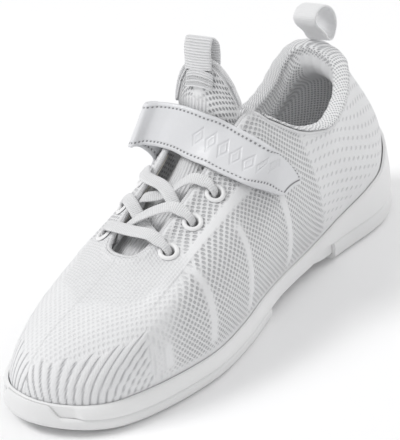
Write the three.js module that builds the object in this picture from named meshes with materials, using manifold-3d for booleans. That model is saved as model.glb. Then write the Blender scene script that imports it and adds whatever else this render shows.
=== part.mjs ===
// A cheer shoe for the left foot: knit upper, cup sole, elastic lace, instep strap and two pull tabs.
// Millimetres. +X is the outer (lateral) side, -Y the toe, +Z up; the origin is under the middle of the shoe.
// Every upper piece is laid on one surface, upper(phi, v): phi goes round the shoe in degrees (0 toe,
// 90 lateral, 180 heel, 270 medial) and v climbs from the sole (0) to the collar and throat edge (1).
import * as THREE from "three";
import { mergeVertices } from "three/addons/utils/BufferGeometryUtils.js";
import Module from "manifold-3d";

const wasm = await Module();
wasm.setup();

// ---- driving dimensions ----
const SOLE_LENGTH = 252; // toe to heel of the sole
const BALL_WIDTH = 85; // widest line of the sole
const HEEL_HEIGHT = 83; // floor to the top of the heel collar
const EASE = 0.3; // gap kept between pieces that touch
const KNIT = 2.0; // upper fabric
const TAPE = 0.6; // eyestay reinforcement under the knit
const PUFF = 0.6; // toe puff and heel counter
const LINING = 0.9; // collar lining
const COLLAR_PAD = 5.5; // thickest point of the collar foam
const SIDEWALL = 1.4; // top of the midsole wall
const OUTSOLE = 3.2; // rubber under the foot
const FOREFOOT_EDGE = 6.2; // height of the rubber's rim under the forefoot
const HEEL_EDGE = 9.2; // and under the heel
const TOE_BUMPER = 20; // degrees of phi on each side of the toe tip that the rubber covers
const FLOOR = 8.6; // inside floor of the midsole at the ball
const HEEL_LIFT = 3.2; // how much higher the floor is at the heel
const BOARD = 1.5; // insole board
const SOCK = 3.4; // sockliner
const EYELET_RADIUS = 4.6;
const EYELET_HOLE = 2.6;
const EYELET_WALL = 0.5;
const LACE_WIDTH = 6.0;
const LACE_THICKNESS = 1.5;
const TONGUE = 3.0; // padded tongue
const STRAP_WIDTH = 21.8;
const STRAP = 1.6; // strap cover
const STRAP_LINING = 0.6;
const PATCH = 0.8; // hook patch and loop patch
const TAB_WIDTH = 12.6;
const TAB = 1.4; // pull tab webbing

// ---- the pattern the shoe is graded from ----
const PATTERN = { length: 252, width: 85, height: 83 };
const ALONG = SOLE_LENGTH / PATTERN.length;
const ACROSS = BALL_WIDTH / PATTERN.width;
const UP = HEEL_HEIGHT / PATTERN.height;
const at = (x, y, z) => new THREE.Vector3(x * ACROSS, y * ALONG, z * UP);

// Widest line of the sole in plan, with the height of the midsole's wall: phi, x, y, wall.
const PLAN = [
  [0, -5, -121, 15.5], [20, 13.5, -117, 14], [40, 29.5, -103, 12.5], [54, 38, -82, 12],
  [65, 42.3, -60, 11.5], [74, 43.3, -41, 11], [84, 40, -18, 11], [94, 35, 2, 11.2],
  [105, 31, 22, 11.2], [118, 28.6, 47, 12], [132, 28.7, 72, 17], [146, 29.6, 95, 22],
  [157, 27, 111, 26], [168, 17.5, 125.5, 35], [180, 1, 131, 40], [192, -15, 126, 35],
  [203, -25, 112, 26], [214, -28, 96, 22], [228, -27, 72, 18], [242, -25, 47, 14],
  [255, -26, 22, 13], [267, -31, 1, 12], [278, -36.5, -18, 11], [290, -40.5, -41, 11],
  [302, -41.5, -62, 11.5], [315, -38.5, -84, 12], [335, -25, -110, 13.5],
];
// Edge of the throat and the collar: phi, x, y, z.
const TOPLINE = [
  [0, 0, -55, 53.5], [16, 8, -52.5, 54.5], [32, 11.5, -43, 58.5], [50, 12.3, -27, 66],
  [66, 12.7, -10, 74], [82, 14.5, 6, 83.5], [95, 17.5, 20.5, 93], [107, 21.5, 29.5, 86],
  [119, 25, 44.5, 75], [131, 26, 58, 69], [143, 25, 71, 66], [154, 20.5, 87, 68],
  [163, 15.5, 98, 72.5], [172, 8, 107, 79], [180, -2, 110.5, 82], [188, -12, 110.5, 83],
  [197, -21.5, 106, 80.5], [206, -26.5, 99, 73], [215, -27.5, 90, 65.5], [224, -27, 79, 62],
  [234, -26, 66, 62], [245, -24, 49, 67], [256, -20.5, 32, 79], [266, -17, 20, 88.5],
  [278, -14.5, 6, 82], [294, -12.7, -10, 73], [310, -12.3, -27, 65], [328, -11.5, -43, 57.5],
  [344, -8, -52.5, 54],
];
// How a rib of the upper leaves the sole and reaches the edge: phi, lean out at the sole in degrees,
// pull there, slope down from the edge in degrees, pull there. A pull is a share of the rib's length.
const RIBS = [
  [0, 0, 0.36, 26, 0.36], [20, 4, 0.38, 24, 0.38], [40, 8, 0.38, 26, 0.4], [60, 12, 0.36, 30, 0.4],
  [80, 17, 0.36, 44, 0.4], [95, 23, 0.38, 55, 0.38], [107, 27, 0.4, 62, 0.36],
  [119, 24, 0.38, 74, 0.34], [131, 18, 0.36, 84, 0.3], [143, 13, 0.36, 90, 0.3],
  [154, 8, 0.38, 88, 0.28], [163, 5, 0.38, 82, 0.26], [172, 2, 0.38, 78, 0.26],
  [180, 1, 0.38, 76, 0.26], [188, 2, 0.38, 78, 0.26], [197, 5, 0.38, 84, 0.28],
  [207, 8, 0.38, 88, 0.3], [219, 9, 0.36, 88, 0.3], [231, 9, 0.36, 84, 0.3],
  [243, 8, 0.36, 80, 0.3], [254, 5, 0.34, 72, 0.3], [266, 3, 0.34, 64, 0.3],
  [278, 0, 0.32, 56, 0.3], [294, -3, 0.32, 50, 0.3], [310, -5, 0.32, 46, 0.28],
  [328, -6, 0.32, 38, 0.26], [344, -4, 0.34, 30, 0.3],
];
// Middle line of the tongue's front face: place, y, z, half width, how strongly it arches.
const TONGUE_LINE = [
  [0, -60, 43.8, 15, 0.012], [0.15, -45, 50.6, 19.5, 0.014], [0.3, -30, 57.4, 20.5, 0.015],
  [0.45, -15, 64.8, 20, 0.019], [0.54, -6, 71.4, 19, 0.032], [0.63, 1, 80.6, 17, 0.048],
  [0.72, 4.8, 90.5, 15, 0.04], [0.8, 6.4, 99, 15.4, 0.027], [0.9, 8.3, 109, 12.6, 0.022],
  [1, 10.8, 118.3, 11.4, 0.02],
];

// ---- curves ----
// Smooth curve through the rows of a table (place, values...); period closes it on itself.
function throughRows(table, place, period) {
  let rows = table;
  if (period) {
    const last = table.at(-1);
    rows = [
      [last[0] - period, ...last.slice(1)], ...table,
      ...table.slice(0, 2).map((row) => [row[0] + period, ...row.slice(1)]),
    ];
    place = ((place % period) + period) % period;
  }
  place = Math.min(Math.max(place, rows[0][0]), rows.at(-1)[0]);
  let i = 0;
  while (i < rows.length - 2 && rows[i + 1][0] <= place) i++;
  const step = rows[i + 1][0] - rows[i][0];
  const s = (place - rows[i][0]) / step;
  const slope = (j, k) => {
    const a = rows[Math.max(j - 1, 0)];
    const b = rows[Math.min(j + 1, rows.length - 1)];
    return (b[k] - a[k]) / (b[0] - a[0]);
  };
  return rows[i].slice(1).map((start, n) => {
    const k = n + 1;
    return (
      (2 * s ** 3 - 3 * s ** 2 + 1) * start + (s ** 3 - 2 * s ** 2 + s) * step * slope(i, k) +
      (3 * s ** 2 - 2 * s ** 3) * rows[i + 1][k] + (s ** 3 - s ** 2) * step * slope(i + 1, k)
    );
  });
}
const smooth = (from, to, value) => THREE.MathUtils.smoothstep(value, from, to);
const mix = THREE.MathUtils.lerp;
const along = (steps, from, to) => Array.from({ length: steps + 1 }, (_, i) => mix(from, to, i / steps));
const radians = THREE.MathUtils.degToRad;

function planAt(phi) {
  const [x, y, wall] = throughRows(PLAN, phi, 360);
  return { point: at(x, y, 0).setZ(0), wall };
}
function edgeAt(phi) {
  return at(...throughRows(TOPLINE, phi, 360));
}
// Level direction away from the inside of a closed curve that runs toe, lateral, heel, medial.
function outward(curve, phi) {
  const step = curve(phi + 0.5).sub(curve(phi - 0.5));
  return new THREE.Vector3(step.y, -step.x, 0).normalize();
}
const soleOut = (phi) => outward((p) => planAt(p).point, phi);

// ---- the surface of the upper ----
const FEATHER_INSET = 4.0; // the upper stands this far inside the widest line of the sole
const ribs = new Map();
function ribAt(phi) {
  const key = phi.toFixed(3);
  if (!ribs.has(key)) {
    const { point, wall } = planAt(phi);
    const out = soleOut(phi);
    const start = point.clone().addScaledVector(out, -FEATHER_INSET).setZ(wall);
    const end = edgeAt(phi);
    const [lean, pull, slope, endPull] = throughRows(RIBS, phi, 360);
    const reach = start.distanceTo(end);
    const rise = new THREE.Vector3(0, 0, Math.cos(radians(lean)))
      .addScaledVector(out, Math.sin(radians(lean)));
    const fall = outward(edgeAt, phi).multiplyScalar(Math.cos(radians(slope)));
    fall.z = -Math.sin(radians(slope));
    const edge = edgeAt(phi + 1).sub(edgeAt(phi - 1)).normalize();
    const square = 0.6 * (1 - smooth(52, 84, Math.min(phi, 360 - phi)));
    fall.addScaledVector(edge, -square * fall.dot(edge)).normalize();
    ribs.set(key, new THREE.CubicBezierCurve3(
      start, start.clone().addScaledVector(rise, pull * reach),
      end.clone().addScaledVector(fall, endPull * reach), end));
  }
  return ribs.get(key);
}
function upperNormal(phi, v) {
  const round = ribAt(phi + 0.5).getPoint(v).sub(ribAt(phi - 0.5).getPoint(v));
  const climb = ribAt(phi).getPoint(v + 0.01).sub(ribAt(phi).getPoint(v - 0.01));
  return round.cross(climb).normalize();
}
// A point of the upper, depth below the outer face; rise carries on past the edge.
function upper(phi, v, depth = 0, rise = 0) {
  const point = ribAt(phi).getPoint(v);
  if (rise) point.addScaledVector(ribAt(phi).getPoint(1).sub(ribAt(phi).getPoint(0.98)).normalize(), rise);
  return point.addScaledVector(upperNormal(phi, v), -depth);
}

// ---- solids from grids ----
function geometryOf(points, triangles) {
  const g = new THREE.BufferGeometry();
  g.setAttribute("position", new THREE.Float32BufferAttribute(points.flatMap((p) => [p.x, p.y, p.z]), 3));
  let volume = 0;
  for (const [a, b, c] of triangles) volume += points[a].dot(points[b].clone().cross(points[c]));
  g.setIndex(volume < 0 ? triangles.flatMap(([a, b, c]) => [a, c, b]) : triangles.flat());
  g.computeVertexNormals();
  return g;
}
// Joins two grids of the same shape, front[row][column] and back[row][column], into one closed sheet.
// closed joins the last column to the first.
function sheet(front, back, closed = false) {
  const rows = front.length;
  const cols = front[0].length;
  const points = [...front.flat(), ...back.flat()];
  const f = (r, c) => r * cols + (c % cols);
  const b = (r, c) => rows * cols + f(r, c);
  const triangles = [];
  const quad = (p, q, r, s) => triangles.push([p, q, r], [p, r, s]);
  const lastCol = closed ? cols : cols - 1;
  for (let c = 0; c < lastCol; c++) {
    for (let r = 0; r < rows - 1; r++) {
      quad(f(r, c), f(r, c + 1), f(r + 1, c + 1), f(r + 1, c));
      quad(b(r, c), b(r + 1, c), b(r + 1, c + 1), b(r, c + 1));
    }
    quad(f(0, c), b(0, c), b(0, c + 1), f(0, c + 1));
    quad(f(rows - 1, c), f(rows - 1, c + 1), b(rows - 1, c + 1), b(rows - 1, c));
  }
  for (let r = 0; r < rows - 1 && !closed; r++) {
    quad(f(r, 0), f(r + 1, 0), b(r + 1, 0), b(r, 0));
    quad(f(r, cols - 1), b(r, cols - 1), b(r + 1, cols - 1), f(r + 1, cols - 1));
  }
  return geometryOf(points, triangles);
}
// Stacks closed rings (each runs toe, lateral, heel, medial) and closes both ends across the shoe.
function stack(rings) {
  const n = rings[0].length;
  const points = rings.flat();
  const triangles = [];
  const p = (r, i) => r * n + (i % n);
  for (let r = 0; r < rings.length - 1; r++)
    for (let i = 0; i < n; i++)
      triangles.push([p(r, i), p(r, i + 1), p(r + 1, i + 1)], [p(r, i), p(r + 1, i + 1), p(r + 1, i)]);
  const cap = (r, turn) => {
    for (let i = 0; i < n / 2; i++) {
      const ring = [p(r, i), p(r, i + 1), p(r, n - i - 1), p(r, n - i)];
      const faces = [[ring[0], ring[1], ring[2]], [ring[0], ring[2], ring[3]]];
      for (const face of faces)
        if (new Set(face).size === 3) triangles.push(turn ? face : face.reverse());
    }
  };
  cap(0, false);
  cap(rings.length - 1, true);
  return geometryOf(points, triangles);
}
// A band swept along points: side is its width direction, size(i) gives [width, thickness].
function ribbon(points, side, size) {
  const corners = [[-1, 0], [-0.85, -1], [0.85, -1], [1, 0], [0.85, 1], [-0.85, 1]];
  const rings = points.map((point, i) => {
    const ahead = points[Math.min(i + 1, points.length - 1)];
    const behind = points[Math.max(i - 1, 0)];
    const tangent = ahead.clone().sub(behind).normalize();
    const across = side(i).clone();
    across.addScaledVector(tangent, -across.dot(tangent)).normalize();
    const face = tangent.clone().cross(across);
    const [width, thickness] = size(i);
    return corners.map(([u, w]) =>
      point.clone().addScaledVector(across, (u * width) / 2).addScaledVector(face, (w * thickness) / 2));
  });
  const n = corners.length;
  const all = [...rings.flat(), points[0].clone(), points.at(-1).clone()];
  const triangles = [];
  for (let r = 0; r < rings.length - 1; r++)
    for (let i = 0; i < n; i++) {
      const j = (i + 1) % n;
      triangles.push([r * n + i, r * n + j, (r + 1) * n + j], [r * n + i, (r + 1) * n + j, (r + 1) * n + i]);
    }
  const end = (rings.length - 1) * n;
  for (let i = 0; i < n; i++) {
    const j = (i + 1) % n;
    triangles.push([all.length - 2, j, i], [all.length - 1, end + i, end + j]);
  }
  return geometryOf(all, triangles);
}

// ---- joins and cuts ----
function solidOf(geometry) {
  const g = geometry.clone();
  for (const name of Object.keys(g.attributes)) if (name !== "position") g.deleteAttribute(name);
  const merged = mergeVertices(g, 1e-4);
  return new wasm.Manifold(new wasm.Mesh({
    numProp: 3, vertProperties: merged.attributes.position.array,
    triVerts: new Uint32Array(merged.index.array),
  }));
}
function geometryFrom(solid) {
  const m = solid.getMesh();
  const g = new THREE.BufferGeometry();
  g.setAttribute("position", new THREE.BufferAttribute(m.vertProperties, 3));
  g.setIndex(new THREE.BufferAttribute(m.triVerts, 1));
  g.computeVertexNormals();
  return g;
}
const cut = (geometry, tools) =>
  geometryFrom(tools.reduce((solid, tool) => solid.subtract(solidOf(tool)), solidOf(geometry)));
const overlapOf = (a, b) => geometryFrom(solidOf(a).intersect(solidOf(b)));

// ---- the object ----
const shoe = new THREE.Group();
const finishes = {
  knit: { color: 0xf0f0f1, roughness: 0.92 }, lining: { color: 0xe9e9ea, roughness: 0.95 },
  rubber: { color: 0xededee, roughness: 0.6 }, foam: { color: 0xdfdcd2, roughness: 0.98 },
  board: { color: 0xcfc8b8, roughness: 0.9 }, coated: { color: 0xe4e5e8, roughness: 0.5 },
  webbing: { color: 0xeeeeef, roughness: 0.8 }, satin: { color: 0xeaebed, roughness: 0.45 },
  ring: { color: 0xf2f2f2, roughness: 0.35 }, cord: { color: 0xf0f0f0, roughness: 0.85 },
  grip: { color: 0xe6e6e6, roughness: 0.95 },
};
function add(name, finish, geometry) {
  const material = new THREE.MeshStandardMaterial({ metalness: 0, ...finishes[finish] });
  const mesh = new THREE.Mesh(geometry, material);
  mesh.name = name;
  shoe.add(mesh);
  return mesh;
}

// ---- sole ----
// Angles of the rings of the sole and the upper, mirrored, closer together round the collar's front corner.
const halfRound = [...along(9, 0, 54), ...along(4, 60, 80).slice(0, -1), ...along(8, 80, 112).slice(0, -1),
  ...along(12, 112, 180)];
const rounds = [...halfRound, ...halfRound.slice(1, -1).reverse().map((phi) => 360 - phi)];
const WAIST = { front: 6, back: 56, ramp: 12 }; // stretch along Y where the sole is raised off the ground
const SPRING = { from: -84, height: 4 }; // the toe lifts ahead of this line
const spring = (y) => SPRING.height * Math.max(0, (SPRING.from * ALONG - y) / (37 * ALONG)) ** 2;
const waist = (y) =>
  smooth((WAIST.front - 2) * ALONG, (WAIST.front + WAIST.ramp) * ALONG, y) *
  (1 - smooth((WAIST.back - WAIST.ramp) * ALONG, (WAIST.back + 2) * ALONG, y));
const heelward = (y) => smooth(20 * ALONG, 62 * ALONG, y);
const floorAt = (y) => FLOOR + HEEL_LIFT * smooth(42 * ALONG, 82 * ALONG, y) + 0.6 * spring(y);
const bumper = (phi) => 1 - smooth(TOE_BUMPER * 0.7, TOE_BUMPER, Math.min(phi, 360 - phi));
const plainRim = (y) => mix(FOREFOOT_EDGE, HEEL_EDGE, heelward(y)) + spring(y);
const rim = (phi, y, wall) => mix(plainRim(y), wall + 0.6, bumper(phi));

// One ring of the sole: inset and height are numbers or functions of phi, the point and the wall.
function soleRing(inset, height) {
  return rounds.map((phi) => {
    const { point, wall } = planAt(phi);
    const value = (thing) => (typeof thing === "function" ? thing(phi, point.y, wall) : thing);
    const p = point.clone().addScaledVector(soleOut(phi), -value(inset));
    p.z = value(height);
    return p;
  });
}
const WALL_INSET = FEATHER_INSET - 2 * EASE; // inner face of the midsole's wall
const RIM = 1.8; // thickness of the rubber's rim
const fullOutsole = stack([
  soleRing(6, (phi, y) => spring(y)),
  soleRing(1.6, (phi, y) => spring(y) + 0.9),
  soleRing(0.2, (phi, y) => spring(y) + 3.2),
  soleRing((phi) => mix(0.3, 1.5, bumper(phi)), (phi, y, wall) => rim(phi, y, wall)),
  soleRing(RIM, (phi, y, wall) => rim(phi, y, wall)),
  soleRing(RIM + 0.2, (phi, y) => spring(y) + OUTSOLE),
]);
// A box from y0 to y1 whose rounded ends are arcs of radius half the shoe's width.
function planBlock(y0, y1, roundAt) {
  const shape = new THREE.Shape();
  const half = BALL_WIDTH;
  const bow = 9 * ALONG;
  shape.moveTo(-half, y0);
  if (roundAt === "back") {
    shape.lineTo(half, y0);
    shape.lineTo(half, y1 - bow);
    shape.quadraticCurveTo(0, y1 + bow, -half, y1 - bow);
  } else {
    shape.quadraticCurveTo(0, y0 - bow, half, y0);
    shape.lineTo(half, y1);
    shape.lineTo(-half, y1);
  }
  const g = new THREE.ExtrudeGeometry(shape, { depth: 60, bevelEnabled: false, curveSegments: 12 });
  return g.translate(0, 0, -10);
}
add("outsole_forefoot", "rubber", overlapOf(fullOutsole, planBlock(-200, 4 * ALONG, "back")));
add("outsole_heel", "rubber", overlapOf(fullOutsole, planBlock(66 * ALONG, 200, "front")));

const underside = (phi, y) => mix(OUTSOLE + EASE + spring(y), FOREFOOT_EDGE - 0.8, waist(y));
const shelf = (phi, y, wall) => mix(rim(phi, y, wall) + EASE, FOREFOOT_EDGE - 0.6, waist(y));
const covered = (phi) => 1 - smooth(TOE_BUMPER * 1.25, TOE_BUMPER * 1.55, Math.min(phi, 360 - phi));
const behindBumper = (phi) => (RIM + EASE) * covered(phi);
add("midsole", "rubber", stack([
  soleRing(RIM + EASE + 0.3, underside),
  soleRing(RIM + EASE, (phi, y, wall) =>
    Math.max(underside(phi, y) + 0.2, mix(shelf(phi, y, wall), plainRim(y) + EASE, covered(phi)))),
  soleRing((phi, y) => Math.max(0.4 + 1.2 * waist(y), behindBumper(phi) - 0.02),
    (phi, y, wall) =>
      mix(shelf(phi, y, wall), Math.max(floorAt(y) - 1, plainRim(y) + EASE + 0.1), covered(phi))),
  soleRing((phi, y) => Math.max(0.3 + 0.9 * waist(y), behindBumper(phi) - 0.01),
    (phi, y, wall) => mix(mix(shelf(phi, y, wall), wall, 0.45), floorAt(y) + 0.3, covered(phi))),
  soleRing((phi) => Math.max(WALL_INSET - SIDEWALL, behindBumper(phi)), (phi, y, wall) => wall + 0.9),
  soleRing(WALL_INSET, (phi, y, wall) => wall + 0.9),
  soleRing(WALL_INSET + 0.01, (phi, y) => floorAt(y)),
]));
const BOARD_INSET = FEATHER_INSET + KNIT + 2 * EASE;
add("insole_board", "board", stack([
  soleRing(BOARD_INSET, (phi, y) => floorAt(y) + EASE),
  soleRing(BOARD_INSET, (phi, y) => floorAt(y) + EASE + BOARD),
]));
const sockBase = (y) => floorAt(y) + EASE + BOARD + EASE;
add("sockliner", "foam", stack([
  soleRing(BOARD_INSET + EASE, (phi, y) => sockBase(y)),
  soleRing(BOARD_INSET + EASE, (phi, y) => sockBase(y) + SOCK),
  soleRing(BOARD_INSET + 8, (phi, y) => sockBase(y) + SOCK - 1),
]));

// ---- upper ----
// Rows of the knit: a straight margin down inside the wall, then up the ribs.
function knitRow(v, depth) {
  return rounds.map((phi) => {
    if (v >= 0) return upper(phi, v, depth);
    const { point } = planAt(phi);
    return point.clone().addScaledVector(soleOut(phi), -FEATHER_INSET - depth).setZ(floorAt(point.y) + EASE);
  });
}
const KNIT_ROWS = [-1, 0, 0.08, 0.18, 0.3, 0.43, 0.56, 0.68, 0.79, 0.88, 0.95, 1];
const EYELETS = {
  lateral: [[33, 0.9], [50, 0.905], [65.5, 0.9]],
  medial: [[326.5, 0.885], [310.5, 0.885], [296, 0.885]],
};
const BARREL = EYELET_HOLE + EYELET_WALL;
const eyelets = Object.entries(EYELETS).flatMap(([side, places]) =>
  places.map(([phi, v], i) => {
    const point = upper(phi, v);
    const normal = upperNormal(phi, v);
    const turn = new THREE.Quaternion().setFromUnitVectors(new THREE.Vector3(0, 1, 0), normal);
    return { name: `eyelet_${side}_${i + 1}`, side, phi, v, point, normal, turn };
  }));
const punches = eyelets.map(({ point, turn }) =>
  new THREE.CylinderGeometry(BARREL + EASE, BARREL + EASE, 16, 12).applyQuaternion(turn)
    .translate(point.x, point.y, point.z));
const knitFace = (depth) => KNIT_ROWS.map((v) => knitRow(v, depth));
add("knit_upper", "knit", cut(sheet(knitFace(0), knitFace(KNIT), true), punches));

// A patch under the knit, from phi a to b and v c to d, between two depths.
function patch(phis, vs, outer, inner) {
  const deep = (depth, phi, v) => (typeof depth === "function" ? depth(phi, v) : depth);
  const grid = (depth) => vs.map((v) => phis.map((phi) => upper(phi, v, deep(depth, phi, v))));
  return sheet(grid(outer), grid(inner));
}
const FACET = 0.3; // room for the flat facets of the curved pieces
const UNDER_KNIT = KNIT + EASE + FACET;
add("toe_puff", "board", patch(along(14, -52, 52), along(3, 0.04, 0.3), UNDER_KNIT, UNDER_KNIT + PUFF));
add("heel_counter", "board", patch(along(16, 138, 222), along(4, 0.04, 0.5), UNDER_KNIT, UNDER_KNIT + PUFF));
for (const [side, from, to] of [["lateral", 24, 76], ["medial", 286, 336]])
  add(`eyestay_tape_${side}`, "board",
    cut(patch(along(11, from, to), along(2, 0.8, 0.97), UNDER_KNIT, UNDER_KNIT + TAPE), punches));

// ---- collar ----
const COLLAR = { from: 104, to: 256 };
const collarPhis = along(32, COLLAR.from, COLLAR.to);
const THIN_PAD = 0.7; // foam at its lower edge
const collarEnds = (phi) =>
  smooth(COLLAR.from - 4, COLLAR.from + 22, phi) * (1 - smooth(COLLAR.to - 22, COLLAR.to + 4, phi));
const pad = (phi, v) => {
  const bulge = smooth(0.52, 0.78, v) * (1 - 0.55 * smooth(0.82, 0.99, v));
  return THIN_PAD + (COLLAR_PAD - THIN_PAD) * (0.35 + 0.65 * collarEnds(phi)) * bulge;
};
add("collar_foam", "foam", patch(collarPhis, [0.54, 0.64, 0.74, 0.84, 0.92, 0.975],
  UNDER_KNIT, (phi, v) => UNDER_KNIT + pad(phi, v)));
// The lining lies on the foam and rolls over the collar's edge. Each row is v, rise past the edge, depth.
const ROLL_RISE = 1.2;
const liningRows = (phi) => {
  const onFoam = UNDER_KNIT + EASE + FACET;
  const deepest = onFoam + pad(phi, 1);
  const roll = along(4, 0, 180).map(radians).map((turn) =>
    [1, EASE + ROLL_RISE * Math.sin(turn), (deepest / 2) * (1 + Math.cos(turn))]);
  return [...[0.5, 0.58, 0.68, 0.78, 0.87, 0.94].map((v) => [v, 0, onFoam + pad(phi, v)]), ...roll];
};
const liningBase = collarPhis.map((phi) =>
  liningRows(phi).map(([v, rise, depth]) => upper(phi, v, depth, rise)));
const liningRow = (r, thickness) => liningBase.map((rib, c) => {
  const climb = rib[Math.min(r + 1, rib.length - 1)].clone().sub(rib[Math.max(r - 1, 0)]);
  const next = liningBase[Math.min(c + 1, liningBase.length - 1)][r];
  const before = liningBase[Math.max(c - 1, 0)][r];
  return rib[r].clone().addScaledVector(climb.cross(next.clone().sub(before)).normalize(), thickness);
});
const liningRowCount = liningBase[0].length;
add("collar_lining", "lining", sheet(
  along(liningRowCount - 1, 0, liningRowCount - 1).map((r) => liningRow(r, 0)),
  along(liningRowCount - 1, 0, liningRowCount - 1).map((r) => liningRow(r, LINING))));

// ---- eyelets ----
const FLANGE = 0.8; // height of the ring on the outside
const INNER_FLANGE = { depth: KNIT + TAPE + 4 * EASE, height: 0.5 };
const ringProfile = [
  [EYELET_HOLE, -INNER_FLANGE.depth - INNER_FLANGE.height], [EYELET_HOLE, FLANGE + EASE - 0.2],
  [EYELET_HOLE + 0.5, FLANGE + EASE], [EYELET_RADIUS - 0.5, FLANGE + EASE - 0.1],
  [EYELET_RADIUS, EASE], [BARREL, EASE],
  [BARREL, -INNER_FLANGE.depth], [BARREL + 1, -INNER_FLANGE.depth],
  [BARREL + 1, -INNER_FLANGE.depth - INNER_FLANGE.height],
  [EYELET_HOLE, -INNER_FLANGE.depth - INNER_FLANGE.height],
].reverse().map(([r, h]) => new THREE.Vector2(r, h));
for (const { name, point, turn } of eyelets)
  add(name, "ring", new THREE.LatheGeometry(ringProfile, 12).applyQuaternion(turn)
    .translate(point.x, point.y, point.z));

// ---- tongue ----
// Point of the tongue's front face: s runs across (-1 medial, 1 lateral), t from the vamp to the top.
const INNER_ARCH = 1.8; // the instep falls away faster on the inner side
const INNER_SHARE = 0.8; // and the tongue's top reaches less far that way
const TONGUE_TURN = 0.22; // slope that carries the outer side of the tongue's top back toward the ankle
const TONGUE_ROUND = 0.15; // how far the corners fall below the middle of the top
function tongueAt(s, t, depth = 0) {
  const corner = 1 - Math.sqrt(Math.max(0, 1 - (0.97 * s) ** 2));
  const place = t - TONGUE_ROUND * corner * Math.max(0, (t - 0.6) / 0.4) ** 1.5;
  const [y, z, half, arch] = throughRows(TONGUE_LINE, place);
  const [y1, z1] = throughRows(TONGUE_LINE, place + 0.01);
  const [y0, z0] = throughRows(TONGUE_LINE, place - 0.01);
  const front = new THREE.Vector3(0, -(z1 - z0), y1 - y0).normalize();
  const narrow = s < 0 ? mix(1, INNER_SHARE, smooth(0.7, 0.86, t)) : 1;
  const x = s * half * narrow;
  const bend = arch * (s < 0 ? mix(INNER_ARCH, 1, smooth(0.58, 0.8, t)) : 1);
  const turn = TONGUE_TURN * smooth(0.55, 0.85, t);
  const point = at(x, y, z).addScaledVector(front, -bend * x * x - turn * x);
  const normal = front.clone().add(new THREE.Vector3(2 * bend * x + turn, 0, 0)).normalize();
  return point.addScaledVector(normal, -depth);
}
const TONGUE_HINGE = 0.8; // place along the tongue where its top bends forward
const tonguePiece = (from, to, rows) => {
  const grid = (thin) => along(rows, from, to).map((t) => along(10, -1, 1).map((s) => {
    const edge = Math.abs(s) > 0.99 ? 0.35 : 1;
    return tongueAt(s, t, thin ? TONGUE / 2 + (TONGUE / 2) * edge : (TONGUE / 2) * (1 - edge));
  }));
  return sheet(grid(false), grid(true));
};
add("tongue_base", "knit", tonguePiece(0, TONGUE_HINGE - 0.006, 12));
add("tongue_flap", "knit", tonguePiece(TONGUE_HINGE + 0.004, 1, 5));
// Folded tape round the free edge of the flap.
const BINDING = { width: TONGUE + 0.2, thickness: 1.2, gap: EASE + 0.6 };
const bindingPath = [
  ...along(5, TONGUE_HINGE + 0.03, 1).map((t) => [-1, t]), ...along(10, -0.9, 0.9).map((s) => [s, 1]),
  ...along(5, 1, TONGUE_HINGE + 0.03).map((t) => [1, t]),
];
const flapMiddle = tongueAt(0, 0.86, TONGUE / 2);
const bindingPoints = bindingPath.map(([s, t]) => {
  const p = tongueAt(s, t, TONGUE / 2);
  const away = p.clone().sub(flapMiddle);
  away.addScaledVector(bindingNormal(s, t), -away.dot(bindingNormal(s, t))).normalize();
  return p.addScaledVector(away, BINDING.gap + BINDING.thickness / 2);
});
function bindingNormal(s, t) {
  return tongueAt(s, t, 0).sub(tongueAt(s, t, 1)).normalize();
}
add("tongue_binding", "webbing",
  ribbon(bindingPoints, (i) => bindingNormal(...bindingPath[i]), () => [BINDING.width, BINDING.thickness]));

// ---- pull tabs ----
// A strip of webbing along stations [y, z, bow], its width along across; closed makes it a loop.
// bow bends it back over the instep: y grows by bow times the square of the distance from its middle.
function webbing(stations, { x = 0, across, closed = false }) {
  const curve = new THREE.CatmullRomCurve3(stations.map(([y, z]) => at(x, y, z)), closed, "centripetal");
  const bows = stations.map(([, , bow = 0]) => bow);
  const count = closed ? 28 : stations.length * 3;
  const steps = along(count, 0, 1).slice(0, closed ? count : count + 1);
  const edges = along(closed ? 1 : 4, -TAB_WIDTH / 2, TAB_WIDTH / 2);
  const grid = (side) => edges.map((u) => steps.map((s) => {
    const tangent = curve.getTangent(s);
    const face = new THREE.Vector3(0, -tangent.z, tangent.y);
    const i = Math.min(Math.floor(s * (bows.length - 1)), bows.length - 2);
    const bow = closed ? 0 : mix(bows[i], bows[i + 1], s * (bows.length - 1) - i);
    const p = curve.getPoint(s).addScaledVector(face, (side * TAB) / 2).addScaledVector(across, u);
    return p.add(new THREE.Vector3(0, bow * u * u, 0));
  }));
  return sheet(grid(1), grid(-1), closed);
}
// A strip of the same webbing lying on the tongue, at a depth from its front face.
function tongueStrip(from, to, depth) {
  const grid = (d) => along(5, from, to).map((t) =>
    along(4, -1, 1).map((k) => tongueAt((k * TAB_WIDTH) / 2 / throughRows(TONGUE_LINE, t)[2], t, d)));
  return sheet(grid(depth), grid(depth + TAB));
}
const TAB_SEAM = 0.95; // place along the tongue where the sewn ends of the tab stop
add("tongue_tab_tail", "webbing", tongueStrip(0.825, TAB_SEAM, -EASE - FACET - TAB));
add("tongue_tab_back", "webbing", tongueStrip(0.9, TAB_SEAM, TONGUE + EASE + FACET));
const sewn = (t, depth) => {
  const p = tongueAt(0, t, depth);
  return [p.y / ALONG, p.z / UP, throughRows(TONGUE_LINE, t)[3]];
};
const tabFront = sewn(TAB_SEAM + 0.006, -3 * EASE - TAB / 2);
const tabBack = sewn(TAB_SEAM + 0.006, TONGUE + 4 * EASE + TAB / 2);
const TAB_TOP = 129.2 - TAB / 2;
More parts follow.
